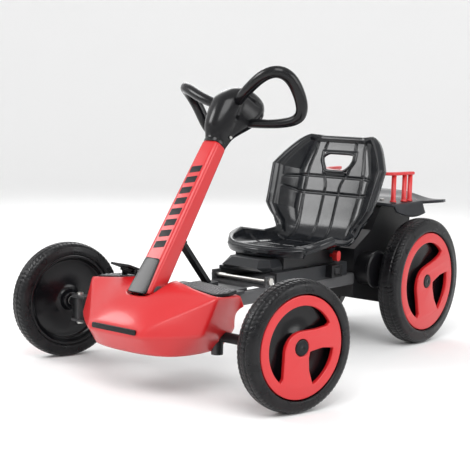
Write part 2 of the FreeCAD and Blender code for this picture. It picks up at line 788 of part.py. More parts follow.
def front_housing():
    """Moulded fairing, open below and behind, that carries the footrests."""
    body = new_body("front_housing")
    wall = S.housing_wall
    wide = S.housing_half_width
    sections = (
        (S.housing_bottom, (60, -120, 94, -106, 107, -40, 105, 28)),
        (116, (66, 2 - S.housing_nose, wide - 11, -84, wide - 16, -30, wide - 28, 28)),
        (134, (66, -S.housing_nose, wide - 8, -74, wide - 10, -24, wide - 22, 28)),
        (S.housing_top, (46, -96, wide - 3, -54, wide - 4, -18, wide - 14, 28)))
    loft(body, "Additive", "XY_Plane", [(height, housing_section(*shape)) for height, shape in sections])
    inner = []
    for height, shape in sections:
        shape = shape[:6] + (shape[6], 32)
        inner.append((height, housing_section(*shape, inset=wall)))
    inner[0] = (S.housing_bottom - 1, inner[0][1])
    inner[-1] = (S.housing_top - wall, inner[-1][1])
    loft(body, "Subtractive", "XY_Plane", inner)
    slot = rectangle(sketch_on(body, "XY_Plane", S.housing_top + 5), -33, 33, -102, 40)
    pocket(body, slot, 40)
    beam = circle(sketch_on(body, "YZ_Plane"), S.beam_radius + 2, 0, S.beam_height)
    pocket(body, beam, 400, both_ways=True)
    strip = rectangle(sketch_on(body, "XZ_Plane", S.housing_nose - 3.4), -54, 54, 118, 127)
    pocket(body, strip, 12, reverse=True)
    legs = sketch_on(body, "XY_Plane", S.beam_height)
    for side in (1, -1):
        circle(legs, stand_radius + 1.5, side * stand_x)
    pocket(body, legs, S.beam_height)
    ribs = sketch_on(body, "XY_Plane", rail_top)
    for middle in (S.rail_x, -S.rail_x):
        rectangle(ribs, middle - 5, middle + 5, -60, 20)
    pad(body, ribs, S.housing_top - rail_top - 1)
    finished(body, "front_housing", CHASSIS)


def light_strip():
    body = new_body("front_strip")
    gap = S.panel_gap
    strip = rectangle(sketch_on(body, "XZ_Plane", S.housing_nose - 3.4), gap - 54, 54 - gap,
                      118 + gap, 127 - gap)
    pad(body, strip, 2)
    finished(body, "front_strip", CHASSIS)


def footrest_pad(label, side):
    body = new_body(label)
    corners = [(side * x, y) for x, y in ((38, -48), (118, -52), (148, -34), (142, 22), (38, 22))]
    pad(body, outline(sketch_on(body, "XY_Plane", S.housing_top), *corners), S.pad_wall)
    round_edges(body, 6, along(Z))
    return finished(body, label, CHASSIS)


def platform_cover():
    """Flat cover over the rails behind the footrests, with two cheeks that catch the brace."""
    thickness = 5
    cover = [solid_box(-78, 78, 29, 120, rail_top, rail_top + thickness),
             solid_box(-60, 60, 120, 150, rail_top, rail_top + thickness)]
    for low, high in ((9.5, 12.5), (-12.5, -9.5)):
        cover.append(solid_box(low, high, 92, 120, rail_top + thickness, rail_top + 15))
    finished(fused(*cover), "platform_cover", CHASSIS)


pedal_x, pedal_y, pedal_z = -88, -18, 199
pedal_pin_radius = 2.5


def pedal_bracket():
    """Foot plate with two cheeks and the treadle's pin."""
    base = S.housing_top + S.pad_wall
    bracket = fused(
        solid_box(pedal_x - 20, pedal_x + 20, pedal_y - 12, pedal_y + 12, base, base + 3),
        *[solid_box(low, low + 3, pedal_y - 6, pedal_y + 6, base, pedal_z + 3.5)
          for low in (pedal_x - 18, pedal_x + 15)],
        solid_rod(pedal_pin_radius, 44, x=pedal_x - 22, y=pedal_y, z=pedal_z, axis=X))
    finished(bracket, "pedal_bracket", CHASSIS)


def accelerator_pedal():
    """Treadle on a sleeve that turns on the bracket's pin."""
    frame = CHASSIS * shifted(pedal_x, pedal_y, pedal_z) * turned(X, -20)
    sleeve = solid_rod(5, 29, x=-14.5, axis=X)
    plate = solid_box(-24, 24, -34, -4, 4, 8)
    neck = solid_box(-10, 10, -20, 0, -2, 6)
    bore = solid_rod(pedal_pin_radius + S.running_gap, 60, x=-30, axis=X)
    finished(cut(fused(sleeve, plate, neck), bore), "accelerator_pedal", frame)


for side, name in ((1, "left"), (-1, "right")):
    frame_rail(side, name)
front_housing()
light_strip()
paired("footrest_pads", footrest_pad)
platform_cover()
pedal_bracket()
accelerator_pedal()

# ---------------------------------------------------------------- seat and its slide

slide_gap = 0.4


def seat_track():
    """Inverted channel on the rails, with a slot that guides the seat."""
    outer = solid_box(-74, 74, S.track_front, S.track_back, rail_top, S.track_top)
    hollow = solid_box(-70, 70, S.track_front - 1, S.track_back + 1, rail_top - 1, S.track_top - 5)
    slot = solid_box(-20, 20, S.track_front + 10, S.track_back - 10, S.track_top - 8, S.track_top + 1)
    finished(cut(outer, hollow, slot), "seat_track", CHASSIS)


def seat_base():
    """Hollow box under the seat whose tongue and keeper run in the track's slot."""
    low = S.track_top + slide_gap
    high = S.pan_height - S.seat_wall
    half = S.base_half_width
    shell = solid_box(-half, half, S.base_front, S.base_back, low, high)
    hollow = solid_box(-half + 4, half - 4, S.base_front + 4, S.base_back - 4, low + 4, high - 4)
    tongue = solid_box(-19.5, 19.5, S.base_front + 10, S.base_back - 10, S.track_top - 9, low)
    keeper = solid_box(-30, 30, S.base_front + 10, S.base_back - 10, S.track_top - 9, S.track_top - 5.4)
    bore = solid_rod(4 + S.running_gap, 30, x=half - 10, y=S.base_back - 14, z=low + 16, axis=X)
    finished(cut(fused(cut(shell, hollow), tongue, keeper), bore), "seat_base", CHASSIS)


def release_knob():
    """Push button on a pin in the left side of the seat base."""
    half = S.base_half_width
    y, z = S.base_back - 14, S.track_top + slide_gap + 16
    knob = fused(
        solid_rod(4, 26, x=half - 10, y=y, z=z, axis=X),
        solid_rod(7, 11, x=half + 9, y=y, z=z - 4, axis=X),
        solid_rod(7, 11, x=half + 9, y=y, z=z + 4, axis=X),
        solid_box(half + 9, half + 20, y - 7, y + 7, z - 4, z + 4))
    finished(knob, "seat_release_knob", CHASSIS)


def cover_section(nose_x, nose_y, side_x, side_y, back):
    """Six corners: a blunt nose, slanted cheeks and straight sides."""
    return [(-nose_x, nose_y), (nose_x, nose_y), (side_x, side_y), (side_x, back), (-side_x, back),
            (-side_x, side_y)]


def nose_cover():
    """Faceted cover on the front of the seat base."""
    body = new_body("seat_nose_cover")
    front, back = S.base_front - 64, S.base_front
    low = S.track_top + slide_gap
    loft(body, "Additive", "XY_Plane", [
        (low, cover_section(48, front + 14, 60, front + 34, back)),
        (low + 8, cover_section(44, front, 60, front + 26, back)),
        (low + 22, cover_section(34, front + 20, 50, front + 34, back))])
    finished(body, "seat_nose_cover", CHASSIS)


# Stations along the seat's middle line: y, z, half width, height of the raised side.
SEAT_STATIONS = (
    (252, 231, 100, 1), (286, 227, 126, 12), (345, 226, 130, 28), (410, 226, 112, 18), (458, 231, 100, 22),
    (484, 262, 104, 34), (502, 316, 136, 44), (524, 378, 147, 40), (541, 424, 112, 24), (552, 452, 78, 8))


def seat_shell():
    """One moulded bucket: a pan with raised sides that turns up into a winged back with a hand hole."""
    wires = []
    wall = number(S.seat_wall)
    rise = number(S.pan_height) - 226
    points = [V(0, y, z + rise) for y, z, _, _ in SEAT_STATIONS]
    for index, (_, _, half, raised) in enumerate(SEAT_STATIONS):
        before = points[max(index - 1, 0)]
        after = points[min(index + 1, len(points) - 1)]
        ahead = (after - before).normalize()
        inward = V(0, -ahead.z, ahead.y)
        row = ((-half, raised), (-0.7 * half, 0), (0.7 * half, 0), (half, raised))
        upper = [points[index] + V(x, 0, 0) + inward * height for x, height in row]
        lower = [corner - inward * wall for corner in reversed(upper)]
        wires.append(Part.makePolygon(upper + lower + upper[:1]))
    shell = Part.makeLoft(wires, True, True)
    hole = [(-27, 384), (27, 384), (38, 402), (34, 416), (-34, 416), (-38, 402)]
    corners = [V(x, 480, z + rise) for x, z in hole]
    cutter = Part.Face(Part.makePolygon(corners + corners[:1])).extrude(V(0, 100, 0))
    shaped("seat_shell", CHASSIS, shell.cut(cutter))


seat_track()
seat_base()
release_knob()
nose_cover()
seat_shell()


bracket_y, bracket_half_depth = 208, 12
bracket_half_width = S.rail_x + S.rail_width / 2 - 4
cross_bolt_radius, cross_bolt_z = 4, rail_top + 12


def hinge_bracket():
    """Cross bracket that clamps the two rails together in front of the seat."""
    half = bracket_half_width
    front, back = bracket_y - bracket_half_depth, bracket_y + bracket_half_depth
    plate = solid_box(-half, half, front, back, rail_top, rail_top + 3)
    ears = [solid_box(low, low + 4, front, back, rail_top, rail_top + 22) for low in (half - 4, -half)]
    hole = solid_rod(cross_bolt_radius, 2 * half + 20, x=-half - 10, y=bracket_y, z=cross_bolt_z, axis=X)
    finished(cut(fused(plate, *ears), hole), "cross_bracket", CHASSIS)


def hinge_bolt():
    """Long bolt through both ears, with a head at one end and a nut at the other."""
    half = bracket_half_width
    shank = solid_rod(cross_bolt_radius, 2 * half + 8, x=-half - 4, y=bracket_y, z=cross_bolt_z, axis=X)
    heads = [solid_rod(7, 5, x=start, y=bracket_y, z=cross_bolt_z, axis=X) for start in (half, -half - 5)]
    finished(fused(shank, *heads), "cross_bolt", CHASSIS)


def switch_box():
    """Small box on the track's left side with a recess for the speed switch."""
    box = solid_box(74, 90, 392, 430, rail_top + 2, S.track_top)
    recess = solid_box(80, 91, 402, 420, rail_top + 6, S.track_top - 4)
    pin = solid_rod(1.5, 22, x=86, y=400, z=rail_top + 14.5, axis=Y)
    finished(fused(cut(box, recess), pin), "switch_box", CHASSIS)


def speed_switch():
    frame = CHASSIS * shifted(86, 402.6, rail_top + 14.5) * turned(Y, -9)
    rocker = fused(solid_rod(4, 16.8, axis=Y), solid_box(0, 5, 0, 16.8, -7, 7))
    finished(cut(rocker, solid_rod(1.5 + S.running_gap, 30, y=-5, axis=Y)), "speed_switch", frame)


hinge_bracket()
hinge_bolt()
switch_box()
speed_switch()

# ---------------------------------------------------------------- drive and rear end

axle_y, axle_z = S.wheelbase, S.rear_tyre_radius
pitch_sum = S.gear_module * (S.gear_teeth + S.pinion_teeth) / 2
train_tilt = math.radians(15)
idler_y = axle_y - pitch_sum * math.cos(train_tilt)
idler_z = axle_z + pitch_sum * math.sin(train_tilt)
motor_y = idler_y - pitch_sum * math.cos(train_tilt)
motor_z = idler_z + pitch_sum * math.sin(train_tilt)


def gear_shape(module, teeth, width, phase_degrees):
    """Spur gear about X with involute flanks; one tooth points at the phase angle from +Y to +Z."""
    pitch, pressure = module * teeth / 2, math.radians(20)
    base = pitch * math.cos(pressure)
    tip, root = pitch + 0.9 * module, pitch - 1.3 * module
    half_tooth = 0.44 * math.pi / teeth
    rolled = math.tan(pressure) - pressure

    def half_angle(radius):
        lean = math.acos(base / radius)
        return half_tooth + rolled - (math.tan(lean) - lean)

    heights = [max(base, root) + (tip - max(base, root)) * step / 4 for step in range(5)]
    flank = [(radius, half_angle(radius)) for radius in heights]
    if root < base:
        flank.insert(0, (root, half_angle(base)))
    corners = []
    for tooth in range(teeth):
        middle = math.radians(phase_degrees) + 2 * math.pi * tooth / teeth
        for radius, angle in [(r, -a) for r, a in flank] + list(reversed(flank)):
            corners.append(V(0, radius * math.cos(middle + angle), radius * math.sin(middle + angle)))
    return Part.Face(Part.makePolygon(corners + corners[:1])).extrude(V(width, 0, 0))


def drive_train():
    """Axle gear, two-stage idler and motor pinion in one plane of the casing."""
    module = number(S.gear_module)
    gear_count, pinion_count = int(number(S.gear_teeth)), int(number(S.pinion_teeth))
    towards_motor = 180 - math.degrees(train_tilt)
    towards_axle = -math.degrees(train_tilt)
    axle_radius = number(S.axle_radius)
    wheel = gear_shape(module, gear_count, 10, towards_motor + 180 / gear_count)
    wheel = wheel.cut(Part.makeCylinder(axle_radius, 12, V(-1, 0, 0), X))
    shaped("drive_gear", CHASSIS * shifted(45, axle_y, axle_z), wheel)
    small = gear_shape(module, pinion_count, 14, towards_axle)
    large = gear_shape(module, gear_count, 10, towards_motor + 180 / gear_count)
    large.translate(V(-13, 0, 0))
    pins = Part.makeCylinder(4, 45, V(-17, 0, 0), X)
    bar = Part.makeCylinder(10, 4, V(-4, 0, 0), X)
    idler = small.fuse([large, bar, pins]).removeSplitter()
    shaped("idler_gear", CHASSIS * shifted(43, idler_y, idler_z), idler)
    pinion = gear_shape(module, pinion_count, 12, towards_axle)
    shaft = Part.makeCylinder(4, 34, V(11, 0, 0), X)
    shaped("motor_pinion", CHASSIS * shifted(29, motor_y, motor_z), pinion.fuse(shaft).removeSplitter())


housing_half = 72
deck_low = S.deck_height - 12
screw_places = [(side * 52, axle_y + behind) for side in (1, -1) for behind in (-24, 44)]
screw_radius = 2.5
reflector_place = (100, axle_y + 44)


def gearbox_housing():
    """Hollow rear casing that holds the gears and the battery and carries the deck."""
    body = new_body("rear_housing")
    wall = 3
    top = deck_low
    sump = axle_z - 56
    corners = [(S.rail_back, sump + 26), (axle_y - 30, sump), (axle_y + 30, sump), (axle_y + 58, sump + 22),
               (axle_y + 66, top), (axle_y - 58, top), (axle_y - 94, top - 50), (S.rail_back, top - 86)]
    inner = [(S.rail_back + wall, sump + 29), (axle_y - 29, sump + wall), (axle_y + 29, sump + wall),
             (axle_y + 55, sump + 24), (axle_y + 63, top - wall), (axle_y - 56, top - wall),
             (axle_y - 91, top - 53), (S.rail_back + wall, top - 89)]
    pad(body, outline(sketch_on(body, "YZ_Plane"), *corners), 2 * housing_half, both_ways=True)
    pocket(body, outline(sketch_on(body, "YZ_Plane"), *inner), 2 * housing_half - 2 * wall, both_ways=True)
    bores = circle(sketch_on(body, "YZ_Plane"), S.axle_radius + S.running_gap, axle_y, axle_z)
    pocket(body, bores, 2 * housing_half + 2, both_ways=True)
    posts = circle(sketch_on(body, "YZ_Plane", 22), 9, idler_y, idler_z)
    pad(body, posts, 6)
    link = sketch_on(body, "YZ_Plane", 22)
    rectangle(link, idler_y - 5, idler_y + 5, axle_z - 44, idler_z)
    pad(body, link, 4)
    idler_pin = circle(sketch_on(body, "YZ_Plane", 20), 4 + S.running_gap, idler_y, idler_z)
    pocket(body, idler_pin, 60, reverse=True)
    shaft_hole = circle(sketch_on(body, "YZ_Plane", 60), 6, motor_y, motor_z)
    pocket(body, shaft_hole, 20, reverse=True)
    threads = sketch_on(body, "XY_Plane", top + 1)
    for x, y in screw_places:
        circle(threads, screw_radius, x, y)
    pocket(body, threads, 10)
    finished(body, "rear_housing", CHASSIS)


def motor():
    """Motor with a round cover on the left of the casing."""
    spun("drive_motor", CHASSIS * shifted(housing_half, motor_y, motor_z),
         [(0, 5), (0, 34), (30, 34), (34, 40), (38, 40), (40, 36), (40, 0), (3, 0), (3, 5)])


def rear_axle():
    reach = S.rear_wheel_x + S.rear_tyre_width / 2 - 4 - S.cover_wall
    body = new_body("rear_axle")
    pad(body, circle(sketch_on(body, "YZ_Plane"), S.axle_radius), 2 * reach, both_ways=True)
    finished(body, "rear_axle", CHASSIS * shifted(y=axle_y, z=axle_z))


def battery():
    body = new_body("battery")
    pad(body, rectangle(sketch_on(body, "XY_Plane", 120), -66, 12, S.rail_back + 20, axle_y - 20), 80)
    round_edges(body, 3, along(Z))
    finished(body, "battery", CHASSIS)


def rear_deck():
    """Grey deck with two swept wings, a cross hump and side skirts inside the wheels."""
    plate = new_body("deck_plate")
    half = [(x, axle_y + behind) for x, behind in (
        (0, -52), (70, -66), (112, -56), (118, 8), (168, 38), (158, 82), (64, 106), (0, 110))]
    corners = half + [(-x, y) for x, y in reversed(half[1:-1])]
    pad(plate, outline(sketch_on(plate, "XY_Plane", deck_low), *corners), 10)
    hump = solid_rod(20, 124, x=-62, y=axle_y + 86, z=deck_low + 2, axis=X)
    trim = solid_box(-70, 70, axle_y + 44, axle_y + 134, deck_low - 40, deck_low)
    skirts = []
    for low, high in ((98, 112), (-112, -98)):
        skirts.append(solid_box(low, high, axle_y - 32, axle_y + 44, deck_low - 40, deck_low))
    holes = [solid_rod(screw_radius, 40, x=x, y=y, z=deck_low - 10) for x, y in screw_places]
    eye_x, eye_y = reflector_place
    eye = solid_rod(7, 30, x=eye_x, y=eye_y, z=deck_low + 8)
    finished(cut(fused(plate, hump, *skirts), trim, *holes, eye), "rear_deck", CHASSIS)


def deck_reflector():
    """Round red lens in its eye on the left wing."""
    body = new_body("deck_reflector")
    sketch = outline(sketch_on(body, "XZ_Plane"), (0, 0), (6.8, 0), (6, 3), (0, 4.5))
    revolve(body, sketch, "V_Axis")
    finished(body, "deck_reflector", CHASSIS * shifted(*reflector_place, deck_low + 8))


def rear_handle():
    """Curved rail over the deck on three pairs of posts."""
    height = number(S.handle_height)
    radius = number(S.handle_radius)
    base = number(deck_low) + 10
    path = [V(x, number(axle_y) + behind, height) for x, behind in (
        (98, 26), (90, -44), (44, -88), (-44, -88), (-90, -44), (-98, 26))]
    rail = bent_tube(path, radius, 30)
    for side in (1, -1):
        for x, behind in ((97, 18), (95, 0), (90.5, -38)):
            foot = V(side * x, number(axle_y) + behind, base)
            rail = rail.fuse(Part.makeCylinder(radius - 1, height - base, foot, Z))
    shaped("rear_handle", CHASSIS, rail.removeSplitter())


def deck_screws():
    screws = []
    for x, y in screw_places:
        shank = solid_rod(screw_radius, 24, x=x, y=y, z=deck_low - 12)
        screw_head = solid_rod(5, 3, x=x, y=y, z=deck_low + 10)
        screws.append(fused(shank, screw_head))
    finished(group(*screws), "deck_screws", CHASSIS)


drive_train()
gearbox_housing()
motor()
rear_axle()
battery()
rear_deck()
deck_reflector()
rear_handle()
deck_screws()

# ---------------------------------------------------------------- checks and files

document.recompute()
for item in document.Objects:
    faults = {"Invalid", "Error"} & set(item.State)
    if faults:
        raise RuntimeError(f"{item.Name} ({item.Label}) failed: {faults}")
labels = [piece.Label for piece in pieces]
if len(labels) != len(set(labels)):
    raise RuntimeError("two pieces share a label")
os.makedirs("parts", exist_ok=True)
for piece in pieces:
    if piece.Shape.isNull() or not piece.Shape.isValid():
        raise RuntimeError(f"{piece.Label} has no valid shape")
    piece.Shape.exportStep(f"parts/{piece.Label}.step")
print(len(pieces), "pieces")
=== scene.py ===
import json
import math
import random

import bmesh
import bpy
from mathutils import Matrix, Vector


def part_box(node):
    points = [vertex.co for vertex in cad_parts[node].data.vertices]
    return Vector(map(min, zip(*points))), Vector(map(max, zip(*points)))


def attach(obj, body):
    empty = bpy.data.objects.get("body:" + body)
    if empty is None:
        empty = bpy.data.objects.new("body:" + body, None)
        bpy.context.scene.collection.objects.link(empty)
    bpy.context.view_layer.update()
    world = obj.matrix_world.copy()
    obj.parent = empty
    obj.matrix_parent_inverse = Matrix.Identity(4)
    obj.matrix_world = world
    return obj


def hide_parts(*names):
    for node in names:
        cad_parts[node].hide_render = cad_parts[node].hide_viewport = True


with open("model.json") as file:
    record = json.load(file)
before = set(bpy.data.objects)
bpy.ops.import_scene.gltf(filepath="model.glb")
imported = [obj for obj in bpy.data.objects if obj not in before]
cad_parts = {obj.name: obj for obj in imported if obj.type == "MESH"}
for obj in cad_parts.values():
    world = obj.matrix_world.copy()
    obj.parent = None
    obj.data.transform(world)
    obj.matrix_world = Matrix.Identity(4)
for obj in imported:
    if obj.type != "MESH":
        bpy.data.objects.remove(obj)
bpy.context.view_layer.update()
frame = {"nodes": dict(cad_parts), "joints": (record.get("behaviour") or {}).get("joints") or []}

# ---------------------------------------------------------------- tyres
# Hollow moulded tyres in one piece: a blocked tread with two zigzag grooves,
# rounded shoulders and a smooth side wall that is pressed over the wheel.

MM = 0.001


class Amount:
    """A shader socket that takes part in Python arithmetic."""

    def __init__(self, finish, socket):
        self.finish, self.socket = finish, socket

    def run(self, operation, *amounts):
        return self.finish.node("ShaderNodeMath", {"operation": operation}, dict(enumerate(amounts)))

    def __add__(self, other):
        return self.run("ADD", self, other)

    def __radd__(self, other):
        return self.run("ADD", other, self)

    def __sub__(self, other):
        return self.run("SUBTRACT", self, other)

    def __rsub__(self, other):
        return self.run("SUBTRACT", other, self)

    def __mul__(self, other):
        return self.run("MULTIPLY", self, other)

    def __rmul__(self, other):
        return self.run("MULTIPLY", other, self)


class Finish:
    """A material with a Principled shader and a short way of adding nodes."""

    def __init__(self, name, **constants):
        self.material = bpy.data.materials.new(name)
        self.material.use_nodes = True
        self.tree = self.material.node_tree
        self.shader = self.tree.nodes["Principled BSDF"]
        self.place = self.node("ShaderNodeTexCoord", output="Object")
        for socket, value in constants.items():
            self.set(socket.replace("_", " "), value)

    def node(self, kind, settings=None, inputs=None, output=0):
        made = self.tree.nodes.new(kind)
        for key, value in (settings or {}).items():
            if key == "stops":
                for index, (position, colour) in enumerate(value):
                    stops = made.color_ramp.elements
                    stop = stops[index] if index < len(stops) else stops.new(position)
                    stop.position, stop.color = position, colour
            else:
                setattr(made, key, value)
        for key, value in (inputs or {}).items():
            self.feed(made.inputs[key], value)
        return Amount(self, made.outputs[output])

    def feed(self, socket, value):
        if isinstance(value, Amount):
            self.tree.links.new(value.socket, socket)
        else:
            socket.default_value = value

    def set(self, socket, value):
        self.feed(self.shader.inputs[socket], value)
        return self

    def noise(self, scale, detail=3.0, roughness=0.5):
        return self.node("ShaderNodeTexNoise", None, {
            "Vector": self.place, "Scale": scale, "Detail": detail, "Roughness": roughness})

    def grains(self, scale, randomness=1.0):
        return self.node("ShaderNodeTexVoronoi", None, {
            "Vector": self.place, "Scale": scale, "Randomness": randomness})

    def ramp(self, amount, low, high):
        return self.node("ShaderNodeMapRange", None, {"Value": amount, "From Min": low, "From Max": high})

    def colour(self, first, second, share):
        return self.node("ShaderNodeMix", {"data_type": "RGBA"}, {0: share, 6: first, 7: second}, output=2)

    def edges(self, low, high):
        """From 0 on flats to 1 on sharp outer edges."""
        return self.ramp(self.node("ShaderNodeNewGeometry", output="Pointiness"), low, high)

    def bump(self, height, strength, distance):
        relief = self.node("ShaderNodeBump", None, {
            "Height": height, "Strength": strength, "Distance": distance})
        return self.set("Normal", relief)


def tyre_rubber():
    finish = Finish("tyre_rubber", Specular_IOR_Level=0.26)
    dust = finish.ramp(finish.noise(38, 5, 0.6), 0.42, 0.72)
    finish.set("Base Color", finish.colour((0.004, 0.004, 0.005, 1), (0.011, 0.011, 0.012, 1), dust))
    finish.set("Roughness", 0.26 + dust * 0.2)
    return finish.bump(finish.noise(900, 2), 0.12, 0.0006).material


TYRE = tyre_rubber()


def new_piece(name, vertices, faces, material):
    """Mesh object from millimetre vertices, with outward normals."""
    mesh = bpy.data.meshes.new(name)
    mesh.from_pydata([Vector(v) * MM for v in vertices], [], faces)
    work = bmesh.new()
    work.from_mesh(mesh)
    bmesh.ops.remove_doubles(work, verts=work.verts, dist=1e-6)
    bmesh.ops.recalc_face_normals(work, faces=work.faces)
    work.to_mesh(mesh)
    work.free()
    mesh.shade_smooth()
    mesh.materials.append(material)
    piece = bpy.data.objects.new(name, mesh)
    bpy.context.scene.collection.objects.link(piece)
    return piece


def lathe(name, profile, steps, material, relief=None):
    """Piece turned about the X axis from closed (x, radius) points."""
    vertices, faces = [], []
    count = len(profile)
    for step in range(steps):
        angle = 2 * math.pi * step / steps
        for index, (x, radius) in enumerate(profile):
            lift = relief(x, radius, angle) if relief else 0
            vertices.append((x, (radius + lift) * math.cos(angle), (radius + lift) * math.sin(angle)))
    for step in range(steps):
        near, far = step * count, (step + 1) % steps * count
        for index in range(count):
            after = (index + 1) % count
            faces.append((near + index, near + after, far + after, far + index))
    return new_piece(name, vertices, faces, material)


def modify(piece, kind, **settings):
    """Adds one modifier with its settings."""
    modifier = piece.modifiers.new(kind.title(), kind)
    for key, value in settings.items():
        setattr(modifier, key, value)
    return modifier


def soften(piece, width=1.0, segments=3):
    """Rounds the sharp edges of a piece by a width in millimetres."""
    modify(piece, "BEVEL", width=width * MM, segments=segments, limit_method="ANGLE",
           angle_limit=math.radians(28), harden_normals=True)
    return piece


def put(piece, matrix, body, slot, *nodes):
    """Place the piece in the kart, let it ride its body and stand for CAD nodes."""
    piece.data.transform(matrix)
    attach(piece, body)
    if nodes:
        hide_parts(*nodes)
    return piece


def centre(node):
    """Middle of a carried-over piece's box."""
    low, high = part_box(node)
    return (Vector(low) + Vector(high)) / 2


JOINTS = {joint["name"]: joint for joint in frame["joints"]}


def wheel_frame(node, joint, side):
    """Matrix from a wheel's own frame, +X outwards, to the kart."""
    across = Vector(JOINTS[joint]["axis"]).normalized() * side
    back = Vector((0, 0, 1)).cross(across)
    turned = Matrix((across, back, Vector((0, 0, 1)))).transposed().to_4x4()
    return Matrix.Translation(centre(node)) @ turned


FRONT = {"radius": 116, "half": 21, "ring": 90}
REAR = {"radius": 138, "half": 24, "ring": 107}
REAR_TURN = 15
WHEELS = []
for side, word in ((1, "left"), (-1, "right")):
    joint = f"front_{word}_spin"
    place = wheel_frame(f"front_tyre_{word}", joint, side)
    WHEELS.append((f"front_{word}", FRONT, place, JOINTS[joint]["child"], 0))
    place = wheel_frame(f"rear_tyre_{word}", "rear_wheels_spin", side)
    WHEELS.append((f"rear_{word}", REAR, place, "rear_wheels", REAR_TURN))


def tyre_profile(size):
    """Closed outline: bore, side wall with a rim bead and a rib, shoulder and a crowned tread."""
    radius, half, bore = size["radius"], size["half"], size["ring"] + 2.2
    wall = [(half - 3, bore), (half - 1, bore + 0.6), (half - 0.2, bore + 2.4), (half, bore + 5),
            (half - 0.3, bore + 9), (half - 0.5, bore + 9.6), (half - 0.6, radius - 11),
            (half - 1.6, radius - 7.6), (half - 3.2, radius - 5), (half - 4.2, radius - 3.8)]
    crown = half - 5
    steps = 26
    tread = []
    for step in range(steps + 1):
        x = crown - 2 * crown * step / steps
        tread.append((x, radius - 2.9 * abs(x / crown) ** 2.4))
    return wall + tread + [(-x, r) for x, r in reversed(wall)]


def tread_relief(size):
    """Depth of the tread: fine cross cuts, two zigzag grooves and a plain middle rib."""
    crown = size["half"] - 5
    blocks = round(size["radius"] * 2 * math.pi / 9.5)

    def relief(x, radius, angle):
        if abs(x) > crown + 0.9 or radius < size["ring"] + 12:
            return 0
        phase = angle * blocks / (2 * math.pi)
        zigzag = abs(phase % 1 - 0.5) * 4 - 1
        groove = abs(abs(x) - crown * 0.42 - 1.1 * zigzag)
        depth = 2.2 * max(0.0, 1 - groove / 1.7)
        skew = (phase + 0.055 * abs(x)) % 1
        cut = min(skew, 1 - skew)
        if abs(x) > crown * 0.42:
            depth = max(depth, 1.8 * max(0.0, 1 - cut / 0.17))
        else:
            half_cut = abs(skew - 0.5)
            depth = max(depth, 1.2 * max(0.0, 1 - half_cut / 0.14))
        return -depth
    return relief


for name, size, place, body, turn in WHEELS:
    blocks = round(size["radius"] * 2 * math.pi / 9.5)
    tyre = lathe(f"{name}_tyre_skin", tyre_profile(size), blocks * 6, TYRE, tread_relief(size))
    put(tyre, place, body, "tyre_eva", f"{name.split('_')[0]}_tyre_{name.split('_')[1]}")

# ---------------------------------------------------------------- wheels and covers
# Black moulded wheels with a deep dished inner side, and a red cover pressed flush into the outer
# side. Two curved spokes leave a comma-shaped and a three-cornered window around the hub cap.


def red_plastic():
    """Glossy dyed plastic, a little paler along worn edges."""
    finish = Finish("red_plastic", Coat_Weight=0.25, Coat_Roughness=0.12, Specular_IOR_Level=0.5)
    cloud = finish.noise(7, 2)
    shade = finish.colour((0.52, 0.010, 0.014, 1), (0.60, 0.016, 0.019, 1), cloud)
    worn = finish.edges(0.53, 0.6)
    finish.set("Base Color", finish.colour(shade, (0.72, 0.045, 0.04, 1), worn * 0.5))
    finish.set("Roughness", 0.30 + finish.noise(60, 3) * 0.10)
    return finish.bump(finish.noise(1400, 2), 0.05, 0.0004).material


def black_plastic(name, base, sheen_rough, grain_scale, grain_depth, gloss=0.22, rub=0.35):
    """Black or grey moulded plastic with a spark-eroded grain, rubbed paler along its edges."""
    finish = Finish(name, Specular_IOR_Level=gloss)
    cloud = finish.noise(11, 3)
    dark = (*[part * 0.8 for part in base], 1)
    light = (*[min(1, part * 1.25) for part in base], 1)
    shade = finish.colour(dark, light, cloud)
    worn = finish.edges(0.53, 0.62)
    rubbed = (*[min(1, part * 2.0 + 0.008) for part in base], 1)
    finish.set("Base Color", finish.colour(shade, rubbed, worn * rub))
    finish.set("Roughness", sheen_rough + finish.noise(90, 3) * 0.08)
    return finish.bump(finish.grains(grain_scale), 0.12, grain_depth).material


RED = red_plastic()
GLOSS_BLACK = black_plastic("gloss_black", (0.004, 0.004, 0.005), 0.12, 1500, 0.0001, gloss=0.28)
SATIN_BLACK = black_plastic("satin_black", (0.005, 0.005, 0.006), 0.26, 900, 0.0003)


def arc(centre_x, centre_y, radius, start, end, steps):
    """Points along an arc, in degrees, both ends included."""
    points = []
    for step in range(steps + 1):
        angle = math.radians(start + (end - start) * step / steps)
        points.append((centre_x + radius * math.cos(angle), centre_y + radius * math.sin(angle)))
    return points


def rounded(corners, radius, steps=5):
    """Closed outline with each corner replaced by an arc; a corner may carry its own radius."""
    points = []
    count = len(corners)
    for index, corner in enumerate(corners):
        here = Vector(corner[:2])
        size = corner[2] if len(corner) > 2 else radius
        back = Vector(corners[index - 1][:2]) - here
        ahead = Vector(corners[(index + 1) % count][:2]) - here
        turn = math.pi - back.angle(ahead)
        reach = min(size * math.tan(turn / 2), 0.46 * back.length, 0.46 * ahead.length)
        if reach < 0.05:
            points.append(tuple(here))
            continue
        start, end = here + back.normalized() * reach, here + ahead.normalized() * reach
        for step in range(steps + 1):
            t = step / steps
            points.append(tuple(start * (1 - t) ** 2 + here * (2 * t * (1 - t)) + end * t ** 2))
    return points


